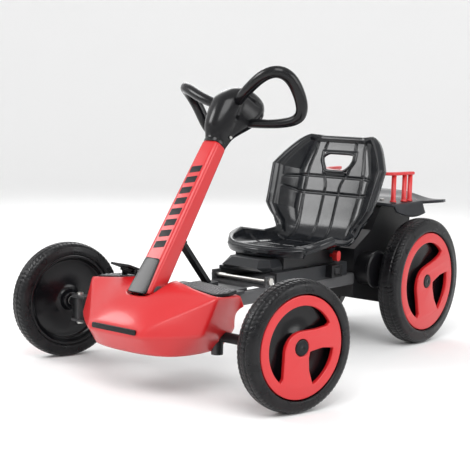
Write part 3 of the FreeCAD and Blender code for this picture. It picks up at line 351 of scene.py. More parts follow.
def cut_sheet(name, outlines, thickness, bevel, material, segments=3):
    """Flat piece in the local YZ plane, X from 0 to its thickness, with holes and rounded edges."""
    curve = bpy.data.curves.new(name, "CURVE")
    curve.dimensions = "2D"
    curve.fill_mode = "BOTH"
    curve.extrude = (thickness / 2 - bevel) * MM
    curve.bevel_depth = bevel * MM
    curve.bevel_resolution = segments
    curve.offset = -bevel * MM
    for points in outlines:
        spline = curve.splines.new("POLY")
        spline.points.add(len(points) - 1)
        for point, (x, y) in zip(spline.points, points):
            point.co = (x * MM, y * MM, 0, 1)
        spline.use_cyclic_u = True
    holder = bpy.data.objects.new(name, curve)
    mesh = bpy.data.meshes.new_from_object(holder)
    bpy.data.objects.remove(holder)
    piece = bpy.data.objects.new(name, mesh)
    bpy.context.scene.collection.objects.link(piece)
    work = bmesh.new()
    work.from_mesh(mesh)
    bmesh.ops.remove_doubles(work, verts=work.verts, dist=2e-6)
    bmesh.ops.recalc_face_normals(work, faces=work.faces)
    work.to_mesh(mesh)
    work.free()
    mesh.transform(Matrix(((0, 0, 1, thickness / 2 * MM), (1, 0, 0, 0), (0, 1, 0, 0), (0, 0, 0, 1))))
    mesh.materials.clear()
    mesh.materials.append(material)
    mesh.shade_smooth()
    mesh.set_sharp_from_angle(angle=math.radians(35))
    return piece


def comma_window(ring):
    """Window that curls round the hub: outer arc, blunt lower end, curve over the hub."""
    outer = arc(0, 0, 0.80 * ring, 31, 232, 40)
    inner = [(-0.435 * ring, -0.56 * ring), (-0.415 * ring, -0.14 * ring)]
    over_hub = arc(0.0, -0.10 * ring, 0.415 * ring, 176, 92, 12)
    tip = [(0.36 * ring, 0.325 * ring), (0.60 * ring, 0.36 * ring)]
    return rounded(outer + inner + over_hub + tip, 3.5, 4)


def corner_window(ring):
    """Three-cornered window under the rear spoke."""
    edge = arc(0, 0, 0.80 * ring, -68, -6, 12)
    waist = [(0.52 * ring, -0.055 * ring), (0.21 * ring, -0.10 * ring), (0.185 * ring, -0.22 * ring),
             (0.20 * ring, -0.46 * ring)]
    return rounded(edge + waist, 3.0, 4)


COVER_THICKNESS, COVER_DEPTH, CAP_HOLE = 9, 11, 14.9
for name, size, place, body, turn in WHEELS:
    ring, half = size["ring"], size["half"]
    whirl = place @ Matrix.Rotation(math.radians(turn), 4, "X")
    outlines = [arc(0, 0, ring, 0, 357, 119), comma_window(ring), corner_window(ring),
                arc(0, 0, CAP_HOLE, 0, 350, 35)]
    cover = cut_sheet(f"{name}_cover", outlines, COVER_THICKNESS, 2.0, RED)
    cover.data.transform(Matrix.Translation((half * MM - COVER_DEPTH * MM, 0, 0)))
    put(cover, whirl, body, "red_plastic")
    cap = lathe(f"{name}_cap", [(half - 11, 0.01), (half - 11, 14.4), (half - 3.0, 14.4), (half - 1.4, 13.2),
                                (half - 0.8, 10.6), (half - 1.2, 9.8), (half - 0.7, 8.4), (half - 0.4, 0.01)],
                40, SATIN_BLACK)
    put(cap, whirl, body, "black_plastic")
    inside = ring - 4
    dish = lathe(f"{name}_dish", [
        (half - 11.2, ring + 2), (half - 11.2, ring - 1), (half - 11.2, inside - 1), (half - 19, inside - 3),
        (half - 20.5, inside - 6), (half - 20.5, 24), (half - 17, 20), (half - 12, 18.5), (half - 11.4, 16),
        (half - 11.4, 9.2), (-half - 2, 9.2), (-half - 2, 15.5), (-half - 1, 17), (-half + 10, 19),
        (-half + 14, 22), (-half + 16, 30), (half - 24, inside - 12), (half - 26, inside - 6),
        (-half + 8, inside - 1.6), (-half + 2.6, inside), (-half + 2, inside + 1.4),
        (-half + 2, ring + 1), (-half + 3, ring + 2)],
        96, GLOSS_BLACK)
    put(dish, whirl, body, "gloss_black")

for word in ("left", "right"):
    for kind, stand_in in (("wheel_cover", "cover"), ("hub_cap", "cap"), ("rim", "dish")):
        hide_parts(f"front_{kind}_{word}")
for kind, stand_in in (("rear_wheel_covers", "cover"), ("rear_hub_caps", "cap"), ("rear_rims", "dish")):
    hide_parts(kind)

# ---------------------------------------------------------------- front axle and steering rods
# Black painted steel tube with welded yokes, two cast knuckles on bolts, and a bright tie rod.
# The wheels turn on nylon bushes; the bolts are zinc plated.

NODES = frame["nodes"]


def dress(material, *nodes, width=0.8):
    """Gives carried-over pieces a material and slightly rounded edges."""
    for node in nodes:
        piece = NODES[node]
        piece.data.materials.clear()
        piece.data.materials.append(material)
        if width:
            soften(piece, width, 2)


def painted_steel(name, base):
    """Powder coat with a light orange-peel surface, thinner and greyer on the edges."""
    finish = Finish(name, Specular_IOR_Level=0.25)
    dust = finish.ramp(finish.noise(26, 5, 0.65), 0.45, 0.75)
    pale = (*[part * 1.9 + 0.02 for part in base], 1)
    shade = finish.colour((*base, 1), pale, dust * 0.35)
    finish.set("Base Color", finish.colour(shade, (0.16, 0.16, 0.165, 1), finish.edges(0.54, 0.64) * 0.5))
    finish.set("Roughness", 0.36 + finish.noise(70, 3) * 0.14)
    return finish.bump(finish.noise(420, 2), 0.12, 0.0006).material


def plated_steel():
    """Zinc plating with faint blue and yellow clouds."""
    finish = Finish("zinc_plate", Metallic=1.0)
    cloud = finish.noise(160, 3)
    finish.set("Base Color", finish.colour((0.52, 0.54, 0.58, 1), (0.66, 0.63, 0.54, 1), cloud))
    finish.set("Roughness", 0.28 + finish.noise(300, 4) * 0.22)
    return finish.bump(finish.noise(1200, 2), 0.1, 0.0002).material


BLACK_STEEL = painted_steel("black_steel", (0.008, 0.008, 0.009))
ZINC = plated_steel()
NYLON = black_plastic("white_nylon", (0.62, 0.61, 0.57), 0.36, 700, 0.0002)
dress(BLACK_STEEL, "front_axle_beam", "steering_knuckle_left", "steering_knuckle_right",
      "lower_steering_shaft", "steering_shaft", "column_bracket", "rear_axle")
dress(ZINC, "kingpin_bolts", "tie_rod", "fold_pins", width=0.5)
dress(NYLON, "front_wheel_bushes_left", "front_wheel_bushes_right", "column_bushes", width=0.3)

# ---------------------------------------------------------------- chassis rails and platform
# Two dark grey painted tubes run from the nose to the rear casing. A flat grey plastic cover is
# screwed over them behind the footrests, with two cheeks for the foot of the brace.

RAIL_PAINT = painted_steel("rail_paint", (0.008, 0.009, 0.011))
GREY_PLASTIC = black_plastic("grey_plastic", (0.014, 0.015, 0.017), 0.34, 700, 0.0003)
dress(RAIL_PAINT, "frame_rail_left", "frame_rail_right", "cross_bracket")
dress(GREY_PLASTIC, "platform_cover", width=1.2)
dress(ZINC, "cross_bolt", width=0.5)

# ---------------------------------------------------------------- front fairing
# Red moulded fairing with a folded crease from the nose slot to each outer corner, a ridge in front
# of the footrests and a tab at each rear corner. It is screwed to the rails from below.

AXLE_LINE = Matrix.Translation((0, centre("kingpin_bolts").y, 0))


def rounded_place(place):
    """Key of a point, so that an edge can be found again by its two ends."""
    return tuple(round(part, 5) for part in place)


def cage(name, points, faces, material, creases, wall):
    """Moulded skin: a coarse half of named points, mirrored across X, subdivided and thickened."""
    names = list(points)
    vertices = [points[key] for key in names]
    index = {key: number for number, key in enumerate(names)}
    corners = [[index[key] for key in face.split()] for face in faces]
    twin = {}
    for number, (x, y, z) in enumerate(list(vertices)):
        twin[number] = number if abs(x) < 0.01 else len(vertices)
        if twin[number] != number:
            vertices.append((-x, y, z))
    corners += [[twin[number] for number in reversed(face)] for face in corners]
    piece = new_piece(name, vertices, corners, material)
    sharp = {}
    for weight, chains in creases.items():
        for chain in chains:
            keys = chain.split()
            for first, second in zip(keys, keys[1:]):
                for flip in (1, -1):
                    ends = [Vector(points[key]) * MM for key in (first, second)]
                    for end in ends:
                        end.x *= flip
                    sharp[tuple(sorted(rounded_place(end) for end in ends))] = weight
    layer = piece.data.attributes.new("crease_edge", "FLOAT", "EDGE")
    for edge in piece.data.edges:
        ends = sorted(rounded_place(piece.data.vertices[number].co) for number in edge.vertices)
        layer.data[edge.index].value = sharp.get(tuple(ends), 0.0)
    modify(piece, "SUBSURF", levels=3, render_levels=3)
    modify(piece, "SOLIDIFY", thickness=wall * MM, offset=-1)
    return piece


FAIRING = {
    # from the nose up to the edge round the column
    "N0": (0, -151, 129), "H0": (0, -126, 157), "T0": (0, -98, 174),
    "N1": (34, -151, 129), "H1": (33, -124, 158), "T1": (31, -96, 175),
    "N2": (63, -149, 127), "H2": (60, -110, 166), "T2": (33, -70, 187),
    "C3": (108, -101, 155), "H3": (88, -74, 181), "T3": (34, -48, 196),
    "C4": (157, -53, 186), "R4": (98, -42, 190), "T4": (37, -29, 199),
    # lower edge of the creased facet, and the side
    "L0": (0, -152, 112), "L1": (34, -152, 112), "L2": (66, -150, 113), "L3": (108, -119, 116),
    "L4": (150, -84, 120), "L5": (143, -30, 116), "L6": (131, 27, 116),
    "M3": (110, -111, 136), "M4": (154, -68, 152), "M5": (149, -20, 149),
    "S5": (154, -12, 181), "S6": (130, 27, 146), "S7": (144, 36, 157), "S8": (143, 27, 177),
    # lower band
    "B0": (0, -122, 76), "B1": (34, -121, 76), "B2": (64, -118, 77), "B3": (96, -108, 78),
    "B4": (108, -64, 76), "B5": (107, -12, 75), "B6": (105, 27, 77),
    # shelf under the footrest
    "E4": (38, -24, 190), "E5": (98, -36, 187), "E6": (147, -45, 183),
    "G4": (38, 4, 186), "G5": (97, 0, 184), "D4": (38, 27, 186), "D5": (96, 27, 184),
}
FAIRING_FACES = (
    "N0 N1 H1 H0", "H0 H1 T1 T0", "N1 N2 H2 H1", "H1 H2 T2 T1", "N2 C3 H3 H2", "H2 H3 T3 T2",
    "C3 C4 R4 H3", "H3 R4 T4 T3", "L0 L1 N1 N0", "L1 L2 N2 N1", "L2 L3 M3 N2", "N2 M3 C3",
    "L3 L4 M4 M3", "M3 M4 C4 C3", "L4 L5 M5 M4", "M4 M5 S5 C4", "L5 L6 S6 M5", "M5 S6 S8 S5", "S6 S7 S8",
    "B0 B1 L1 L0", "B1 B2 L2 L1", "B2 B3 L3 L2", "B3 B4 L4 L3", "B4 B5 L5 L4", "B5 B6 L6 L5",
    "T4 R4 E5 E4", "R4 C4 E6 E5", "E4 E5 G5 G4", "E5 E6 S5 G5", "E6 C4 S5", "G4 G5 D5 D4", "G5 S5 S8 D5",
)
FAIRING_CREASES = {
    0.92: ("L0 L1 L2 L3 L4 L5 L6", "T0 T1 T2 T3 T4", "B0 B1 B2 B3 B4 B5 B6", "S6 S7 S8", "D4 D5 S8"),
    0.9: ("N2 C3 C4", "L4 M4 C4", "C4 S5 S8", "N2 L2"),
    0.7: ("T4 R4 C4", "E4 E5 E6 S5"),
}
fairing = cage("fairing_skin", FAIRING, FAIRING_FACES, RED, FAIRING_CREASES, wall=3.2)
put(fairing, AXLE_LINE, "chassis", "red_plastic", "front_housing")


def plate(name, outline, thickness, material, lift, bevel):
    """Flat rounded plate in the XY plane whose height above the ground follows a rule."""
    sheet = cut_sheet(name, [outline], thickness, bevel, material, 2)
    sheet.data.transform(Matrix(((0, 1, 0, 0), (0, 0, 1, 0), (1, 0, 0, 0), (0, 0, 0, 1))))
    for vertex in sheet.data.vertices:
        vertex.co.z += lift(vertex.co.x / MM, vertex.co.y / MM) * MM
    return sheet


slot = rounded([(-54, -5), (54, -5), (54, 5), (-54, 5)], 3.5)
slot_bar = cut_sheet("nose_slot_bar", [slot], 4, 1.2, GLOSS_BLACK)
slot_bar.data.transform(Matrix.Translation((0, -152.4 * MM, 121 * MM))
                        @ Matrix(((0, 1, 0, 0), (1, 0, 0, 0), (0, 0, 1, 0), (0, 0, 0, 1))))
put(slot_bar, AXLE_LINE, "chassis", "gloss_black", "front_strip")

# ---------------------------------------------------------------- footrest pads and pedal
# Black rubber pads glued to the fairing, each moulded with small shining studs for grip; the studs are
# coloured paler grey than the rubber as a painted highlight of their glints.
# The pedal is a hinged black treadle in a bracket on the right pad.

RUBBER = black_plastic("pad_rubber", (0.004, 0.004, 0.005), 0.45, 500, 0.0005, gloss=0.15)
# The studs' paler grey base colour is a painted highlight standing in for their glints on black rubber.
STUD_GLINT = black_plastic("pad_studs_painted_glint", (0.09, 0.09, 0.095), 0.12, 900, 0.0002, gloss=0.8)
PAD_THICKNESS = 6.2
PAD = [(46, -35), (100, -43), (147, -50), (150, -14), (140, 22), (44, 22)]


def shelf_height(x, y):
    """Height of a pad's lower side above the ground."""
    return 188.5 - 0.06 * (abs(x) - 40) - 0.02 * (y + 24)


STUD_PITCH_X, STUD_PITCH_Y, STUD_RADIUS = 6, 6.2, 1.7
random.seed(12)
for side, word in ((1, "left"), (-1, "right")):
    outline = rounded([(side * x, y) for x, y in PAD], 7)
    if side < 0:
        outline = outline[::-1]
    mat = plate(f"footrest_{word}", outline, PAD_THICKNESS, RUBBER, shelf_height, 1.8)
    put(mat, AXLE_LINE, "chassis", "pad_rubber")
    studs = bmesh.new()
    for row in range(11):
        for column in range(17):
            x = 50 + column * STUD_PITCH_X + (row % 2) * 3 + random.uniform(-0.8, 0.8)
            y = -45 + row * STUD_PITCH_Y + random.uniform(-0.8, 0.8)
            if y < -30 - 0.15 * (x - 46) or x > 144 - 0.3 * max(0, y + 12):
                continue
            spot = Matrix.Translation(Vector((side * x, y, shelf_height(x, y) + 6.0)) * MM)
            turned = Matrix.Rotation(random.choice((0.0, 1.57)), 4, "Z")
            bmesh.ops.create_icosphere(studs, subdivisions=2, radius=STUD_RADIUS * MM,
                                       matrix=spot @ (turned @ Matrix.Diagonal((1.9, 1.0, 0.8, 1))))
    mesh = bpy.data.meshes.new(f"footrest_studs_{word}")
    studs.to_mesh(mesh)
    studs.free()
    mesh.materials.append(STUD_GLINT)
    mesh.shade_smooth()
    grip_studs = bpy.data.objects.new(f"footrest_studs_{word}", mesh)
    bpy.context.scene.collection.objects.link(grip_studs)
    put(grip_studs, AXLE_LINE, "chassis", "pad_rubber")
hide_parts("footrest_pads")
dress(SATIN_BLACK, "pedal_bracket", "accelerator_pedal", width=1.2)

# ---------------------------------------------------------------- steering column
# Red blow-moulded column, rounded and tapering upwards, with a gloss black insert at its foot and a
# row of plain slanted bars printed on its face. A flat black strut holds it up from behind.

LEAN = math.radians(34.5)
COLUMN = (AXLE_LINE @ Matrix.Translation((0, -69 * MM, 175 * MM)) @ Matrix.Rotation(-LEAN, 4, "X"))


def rounded_ring(half_x, half_y, corner):
    """Points round a rectangle with round corners, starting on +X."""
    ring = []
    for quarter, (sx, sy) in enumerate(((1, 1), (-1, 1), (-1, -1), (1, -1))):
        for x, y in arc(0, 0, corner, 90 * quarter, 90 * quarter + 90, 8):
            ring.append((sx * (half_x - corner) + x, sy * (half_y - corner) + y))
    return ring


def loft(name, rings, material):
    """Closed skin through rings of equal count, each a list of 3-D points."""
    count = len(rings[0])
    vertices = [point for ring in rings for point in ring]
    faces = []
    for level in range(len(rings) - 1):
        for index in range(count):
            after = (index + 1) % count
            low, high = level * count, (level + 1) * count
            faces.append((low + index, low + after, high + after, high + index))
    faces.append(tuple(range(count - 1, -1, -1)))
    faces.append(tuple(range((len(rings) - 1) * count, len(rings) * count)))
    return new_piece(name, vertices, faces, material)


COLUMN_LENGTH = 321


def column_half(height):
    """Half width and half depth of the column at a height along it."""
    share = max(0.0, min(1.0, height / COLUMN_LENGTH))
    return 25.0 - 5.2 * share, 22.0 - 5.0 * share


rings = []
end_rounding = {-7: 1.4, -6: 0.5, 319.5: 0.5, COLUMN_LENGTH: 1.4}
for height in (-7, -6, -4, 0, 30, 60, 100, 150, 200, 250, 290, 316, 319.5, COLUMN_LENGTH):
    half_x, half_y = column_half(height)
    shrink = end_rounding.get(height, 0)
    rings.append([(x, y, height) for x, y in rounded_ring(half_x - shrink, half_y - shrink, 9)])
tube = loft("column_skin", rings, RED)
tube.data.set_sharp_from_angle(angle=math.radians(50))
put(tube, COLUMN, "column", "red_plastic", "steering_column")


def on_face(name, outline, thickness, sink, material, bevel):
    """Plate that lies on the column's front face; its outline is (across, along) in millimetres."""
    sheet = cut_sheet(name, [outline], thickness, bevel, material, 3)
    work = bmesh.new()
    work.from_mesh(sheet.data)
    bmesh.ops.triangulate(work, faces=[face for face in work.faces if len(face.verts) > 4])
    work.to_mesh(sheet.data)
    work.free()
    for vertex in sheet.data.vertices:
        out, across, along = vertex.co / MM
        front = column_half(along)[1]
        vertex.co = Vector((across, -front + sink - out, along)) * MM
    sheet.data.flip_normals()
    return sheet


insert_outline = rounded([(-23, -11), (23, -11), (17.5, 62), (-17.5, 62)], 6)
insert = on_face("column_insert", insert_outline, 3.2, 1.2, GLOSS_BLACK, 1.4)
put(insert, COLUMN, "column", "gloss_black", "column_panel")
PRINT = black_plastic("bar_print", (0.012, 0.012, 0.014), 0.38, 900, 0.0001)
BARS, FIRST_BAR, BAR_PITCH = 8, 82, 23.5
for bar in range(BARS):
    low = FIRST_BAR + bar * BAR_PITCH
    shape = rounded([(-12, low), (12, low + 5), (12, low + 19), (-12, low + 14)], 1.5, 3)
    stripe = on_face(f"column_bar_{bar}", shape, 0.6, 0.2, PRINT, 0.15)
    put(stripe, COLUMN, "column", "red_plastic")
dress(SATIN_BLACK, "brace_strut", width=1.0)

# ---------------------------------------------------------------- steering head and grips
# Black hollow head clamped on the steering shaft, with a flat panel and a screw on each side and a
# round cap behind. Two closed loops of smooth satin plastic are the grips.

STEER_REST = math.radians(-13)
HEAD = COLUMN @ Matrix.Rotation(STEER_REST, 4, "Z")
HEAD_BLACK = black_plastic("head_black", (0.004, 0.004, 0.005), 0.16, 1100, 0.00008, gloss=0.32, rub=0.0)
head_rings = []
# Stations of the head: height, middle of its depth, half depth, half width.
HEAD_SHAPE = [(321.6, 0, 21.5, 20.5), (330, 0, 22.5, 21.5), (349, -3, 30, 27), (368, 0, 38, 32),
              (386, 5, 45, 36.5), (404, 10, 50, 39.5), (420, 15, 50, 40), (434, 19, 46, 37.5),
              (445, 22, 38, 32), (452, 25, 27, 23), (456, 26, 13, 11), (456.6, 26, 3, 3)]


def between(rows, value):
    """Smooth reading of a table of rows by its first number."""
    for first, second in zip(rows, rows[1:]):
        if value <= second[0]:
            break
    index = rows.index(first)
    before, after = rows[max(0, index - 1)], rows[min(len(rows) - 1, index + 2)]
    t = max(0.0, min(1.0, (value - first[0]) / (second[0] - first[0])))
    answer = []
    for a, b, c, d in zip(before[1:], first[1:], second[1:], after[1:]):
        answer.append(0.5 * (2 * b + (c - a) * t + (2 * a - 5 * b + 4 * c - d) * t ** 2
                             + (3 * b - a - 3 * c + d) * t ** 3))
    return answer


head_foot, head_top = HEAD_SHAPE[0][0], HEAD_SHAPE[-1][0]
for level in range(65):
    height = head_foot + (head_top - head_foot) * (1 - math.cos(math.pi * level / 64)) / 2
    middle, half_y, half_x = between(HEAD_SHAPE, height)
    ring = []
    for step in range(96):
        angle = 2 * math.pi * step / 96
        across, back = math.cos(angle), math.sin(angle)
        x = half_x * math.copysign(abs(across) ** 0.85, across)
        y = middle + half_y * math.copysign(abs(back) ** 0.92, back)
        line = 6 - (height - 340) * 0.16
        if y > line and height < 430:
            x = math.copysign(min(abs(x), half_x * 0.86), x)
        ring.append((x, y, height))
    head_rings.append(ring)
head = loft("steering_head_skin", head_rings, HEAD_BLACK)
modify(head, "SMOOTH", factor=0.5, iterations=2)
put(head, HEAD, "steering", "black_plastic", "steering_head")
for side in (1, -1):
    screw = lathe(f"head_screw_{'left' if side > 0 else 'right'}", [
        (0, 0.01), (0, 3.4), (1.2, 3.4), (1.8, 2.6), (1.9, 1.4), (1.0, 1.2), (1.0, 0.01)], 24, ZINC)
    screw.data.transform(Matrix.Translation((22.6 * MM, 12 * MM, 344 * MM)) @ Matrix.Rotation(-0.16, 4, "Y"))
    if side < 0:
        screw.data.transform(Matrix.Diagonal((-1, 1, 1, 1)))
        screw.data.flip_normals()
    put(screw, HEAD, "steering", "zinc_steel")
dress(GLOSS_BLACK, "steering_head_cap")


def tube_piece(name, points, radius, material, closed=False, order=4):
    """Bent tube along a smooth curve; a point is (x, y, z) or (x, y, z, relative radius)."""
    curve = bpy.data.curves.new(f"{name}_curve", "CURVE")
    curve.dimensions = "3D"
    curve.bevel_depth = radius * MM
    curve.bevel_resolution = 6
    curve.resolution_u = 10
    line = curve.splines.new("NURBS")
    line.points.add(len(points) - 1)
    for point, place in zip(line.points, points):
        point.co = (*[part * MM for part in place[:3]], 1)
        point.radius = place[3] if len(place) > 3 else 1
    line.order_u = order
    line.use_endpoint_u = not closed
    line.use_cyclic_u = closed
    curve.use_fill_caps = not closed
    holder = bpy.data.objects.new(f"{name}_holder", curve)
    mesh = bpy.data.meshes.new_from_object(holder)
    bpy.data.objects.remove(holder)
    mesh.materials.clear()
    mesh.materials.append(material)
    mesh.shade_smooth()
    piece = bpy.data.objects.new(name, mesh)
    bpy.context.scene.collection.objects.link(piece)
    return piece


# Centre line of a grip: x, y, height and thickness as a share of the usual radius.
GRIP_PATH = [(18, -6, 408, 1.0), (44, -20, 412, 1.05), (78, -32, 423, 1.12), (112, -40, 440, 1.18),
             (140, -34, 452, 1.22), (151, -8, 454, 1.24), (150, 22, 442, 1.24), (148, 48, 424, 1.2),
             (136, 62, 408, 1.08), (104, 58, 399, 0.95), (62, 47, 394, 0.9), (24, 33, 391, 0.9)]
for side, word in ((1, "left"), (-1, "right")):
    path = [(side * x, y, z, radius) for x, y, z, radius in GRIP_PATH]
    loop = tube_piece(f"grip_loop_{word}", path, 9.6, HEAD_BLACK)
    put(loop, HEAD, "steering", "black_plastic", f"grip_{word}")

# ---------------------------------------------------------------- seat slide and its base
# Grey track on the rails, a black box base that slides in it behind a faceted nose cover, a red
# release knob on its side, and the speed switch in its bracket.

dress(GREY_PLASTIC, "seat_track", width=1.0)
dress(SATIN_BLACK, "seat_base", "switch_box", width=1.2)
dress(GREY_PLASTIC, "seat_nose_cover", width=2.0)
dress(RED, "seat_release_knob", width=1.2)
dress(GLOSS_BLACK, "speed_switch", width=0.8)

# ---------------------------------------------------------------- seat shell
# One gloss black moulded bucket: a rolled rim, wings folded forward at the shoulders, a hand hole,
# and narrow grooves that cross on the back and run on into the pan.

SEAT_BLACK = black_plastic("seat_black", (0.004, 0.005, 0.007), 0.14, 1300, 0.0001, gloss=0.45, rub=0.15)
# Middle line of the seat: distance along it from the front edge, y and height.
SPINE = [(0, 246, 216), (9, 246, 225), (16, 251, 230), (50, 286, 228), (109, 345, 227), (174, 410, 226),
         (222, 456, 231), (256, 482, 256), (310, 502, 308), (376, 523, 374), (428, 540, 424), (458, 551, 450)]
# Half width of the seat and the lift of its sides, by the same distance.
WIDTH = [(0, 90, 0), (16, 98, 2), (50, 117, 15), (109, 125, 25), (174, 114, 16), (222, 102, 20),
         (250, 110, 30), (292, 136, 42), (376, 144, 38), (428, 112, 20), (458, 80, 6)]


def straight(rows, value):
    """Linear reading of a table of rows by its first number."""
    for first, second in zip(rows, rows[1:]):
        if value <= second[0]:
            break
    t = max(0.0, min(1.0, (value - first[0]) / (second[0] - first[0])))
    return [a + (b - a) * t for a, b in zip(first[1:], second[1:])]


HOLE_LOW, HOLE_HIGH, HOLE_COLUMN, SEAT_LENGTH = 376.0, 415.0, 0.28, 458.0
GROOVE_HALF_WIDTH, GROOVE_DEPTH = 3.2, 3.0


def ease(value, low, high):
    """Smooth step from 0 at low to 1 at high."""
    t = max(0.0, min(1.0, (value - low) / (high - low)))
    return t * t * (3 - 2 * t)


def groove(distance):
    """Depth of a moulded groove at a distance from its middle."""
    return GROOVE_DEPTH * max(0.0, 1 - (distance / GROOVE_HALF_WIDTH) ** 2)


def seat_point(across, along):
    """Point of the seat's upper side; across runs from -1 to 1 and along in millimetres."""
    curl = 1 - ease(along, 0, 120)
    bulge = 34 * curl * abs(across) ** 2.4
    y, z = between(SPINE, along)
    y += bulge
    ahead, behind = between(SPINE, min(SEAT_LENGTH, along + 2)), between(SPINE, max(0, along - 2))
    tangent = Vector((0, ahead[0] - behind[0], ahead[1] - behind[1])).normalized()
    normal = Vector((0, -tangent.z, tangent.y))
    half, lift = straight(WIDTH, along)
    share = min(1.0, abs(across))
    gap = 18 + 11 * ease(along, 340, 376) + 11 * ease(along, 376, 400) - 4 * ease(along, 425, 450)
    if share < HOLE_COLUMN:
        x = gap * share / HOLE_COLUMN
    else:
        x = gap + (half - gap) * (share - HOLE_COLUMN) / (1 - HOLE_COLUMN)
    rise = lift * ease(x / half, 0.55, 1.0) ** 1.2
    to_side = half - x
    to_end = min(along - 14 if along < 200 else 999, SEAT_LENGTH - along if along > 300 else 999)
    edge = min(to_side * 0.85, to_end)
    rim = 5.5 * (1 - ease(edge, 13, 20)) - 3.5 * (1 - ease(edge, 0, 6))
    inside = ease(edge, 18, 22)
    outer_groove = 66 + 6 * ease(along, 240, 330) - 10 * ease(along, 370, 430)
    depth = max(groove(x - gap), groove(x - outer_groove))
    for level in (329 + 0.15 * max(0, x - 80), 364 - 0.25 * max(0, x - 80), 120, 196):
        depth = max(depth, groove(along - level))
    hole_rim = 0.0
    if HOLE_LOW - 10 < along < HOLE_HIGH + 10:
        span = max(HOLE_LOW - along, along - HOLE_HIGH, x - gap, 0)
        hole_rim = 2.2 * (1 - ease(span, 2, 7))
        depth *= ease(span, 4, 8)
    place = Vector((math.copysign(x, across), y, z)) + normal * (rise + rim + hole_rim - depth * inside)
    return place, normal


beside_hole = [HOLE_COLUMN + step for step in (-0.012, -0.006, 0, 0.006, 0.012)]
columns = sorted({round(share, 4) for share in [step / 100 for step in range(101)] + beside_hole})
columns = [-share for share in reversed(columns[1:])] + columns
rows = sorted({*[step * SEAT_LENGTH / 330 for step in range(331)], HOLE_LOW, HOLE_HIGH})
vertices, faces = [], []
width = len(columns) + 4
for level, along in enumerate([rows[0], rows[0], *rows, rows[-1], rows[-1]]):
    row_skirt = {0: 12, 1: 5, len(rows) + 2: 5, len(rows) + 3: 13}.get(level, 0)
    for index, across in enumerate([columns[0], columns[0], *columns, columns[-1], columns[-1]]):
        side_skirt = {0: 13, 1: 5, width - 2: 5, width - 1: 13}.get(index, 0)
        place, normal = seat_point(across, along)
        drop = max(row_skirt, side_skirt)
        flare = Vector((math.copysign(1.2 if side_skirt else 0, across), 0, 0))
        vertices.append(tuple(place - normal * drop + flare))
height = len(rows) + 4
for level in range(height - 1):
    for index in range(width - 1):
        if 2 <= level < height - 3 and 2 <= index < width - 3:
            along = (rows[level - 2] + rows[level - 1]) / 2
            across = abs(columns[index - 2] + columns[index - 1]) / 2
            if HOLE_LOW < along < HOLE_HIGH and across < HOLE_COLUMN:
                continue
        low, high = level * width + index, (level + 1) * width + index
        faces.append((low, low + 1, high + 1, high))
bucket = new_piece("seat_bucket", vertices, faces, SEAT_BLACK)
modify(bucket, "SOLIDIFY", thickness=3.4 * MM, offset=-1)
put(bucket, AXLE_LINE, "seat", "gloss_black", "seat_shell")

hole_ring = []
for across, along in ([(-1, HOLE_LOW + 2 + step * 7) for step in range(5)]
                      + [(-1 + step / 3, HOLE_HIGH) for step in range(1, 6)]
                      + [(1, HOLE_HIGH - 2 - step * 7) for step in range(5)]
                      + [(1 - step / 3, HOLE_LOW) for step in range(1, 6)]):
    place, normal = seat_point(across * HOLE_COLUMN, along)
    hole_ring.append(tuple(place - normal * 1.6))
lip = tube_piece("seat_hole_lip", hole_ring, 3.6, SEAT_BLACK, closed=True, order=3)
put(lip, AXLE_LINE, "seat", "gloss_black")

# ---------------------------------------------------------------- rear casing, drive and deck
# Black casing with the motor's round cover on its left. Inside are nylon gears and the battery. The
# dark grey moulded deck is screwed on top, with a flat red rail on six posts and a red lens.

LENS = Finish("red_lens", Roughness=0.08, Coat_Weight=1.0, Coat_Roughness=0.02, Specular_IOR_Level=0.6)
facets = LENS.grains(900, 0.0)
LENS.set("Base Color", LENS.colour((0.55, 0.01, 0.012, 1), (0.85, 0.05, 0.04, 1), facets * 900))
LENS.bump(facets, 0.4, 0.0008)
DECK_GREY = black_plastic("deck_grey", (0.030, 0.032, 0.036), 0.26, 800, 0.0003)
dress(SATIN_BLACK, "rear_housing", "drive_motor", width=1.5)
# Coarse left half of the deck: front, middle and rear rows with a hump, the wing, and the skirt S.
DECK = {
    "A0": (0, 600, 309), "A1": (70, 590, 309), "A2": (106, 598, 306),
    "B0": (0, 664, 311), "B1": (70, 660, 311), "B2": (114, 664, 308),
    "C0": (0, 712, 311), "C1": (66, 708, 311), "C2": (121, 690, 310), "C3": (166, 702, 316),
    "D0": (0, 739, 336), "D1": (58, 738, 335), "D2": (112, 740, 312), "D3": (160, 738, 316),
    "E0": (0, 765, 308), "E1": (62, 761, 307), "E2": (108, 750, 306),
    "S0": (110, 606, 290), "S1": (121, 656, 272), "S2": (128, 694, 284),
}
DECK_FACES = (
    "A0 A1 B1 B0", "A1 A2 B2 B1", "B0 B1 C1 C0", "B1 B2 C2 C1", "C0 C1 D1 D0", "C1 C2 D2 D1", "C2 C3 D3 D2",
    "D0 D1 E1 E0", "D1 D2 E2 E1", "D2 D3 E2", "A2 S0 S1 B2", "B2 S1 S2 C2",
)
DECK_CREASES = {0.85: ("A0 A1 A2 S0 S1 S2 C2 C3 D3 E2 E1 E0",), 0.5: ("A2 B2 C2",)}
deck = cage("deck_skin", DECK, DECK_FACES, DECK_GREY, DECK_CREASES, wall=6.0)
put(deck, AXLE_LINE, "chassis", "grey_plastic", "rear_deck")
band = plate("rail_band", rounded([
    (105, 684, 6), (97.5, 609, 30), (47, 561, 30), (-47, 561, 30), (-97.5, 609, 30), (-105, 684, 6),
    (-91, 683, 6), (-83.3, 615, 22), (-41, 575, 22), (41, 575, 22), (83.3, 615, 22), (91, 683, 6)], 6, 8),
    7, RED, lambda x, y: 368, 2.2)
put(band, AXLE_LINE, "chassis", "red_plastic", "rear_handle")
POST_FEET = [(side * x, y) for side in (1, -1) for x, y in ((97, 674), (95, 654), (90, 618))]
POST_OUTLINE = [(0, 0.01), (0, 8), (2.5, 6.6), (7, 5.4), (60, 5.4), (60, 0.01)]
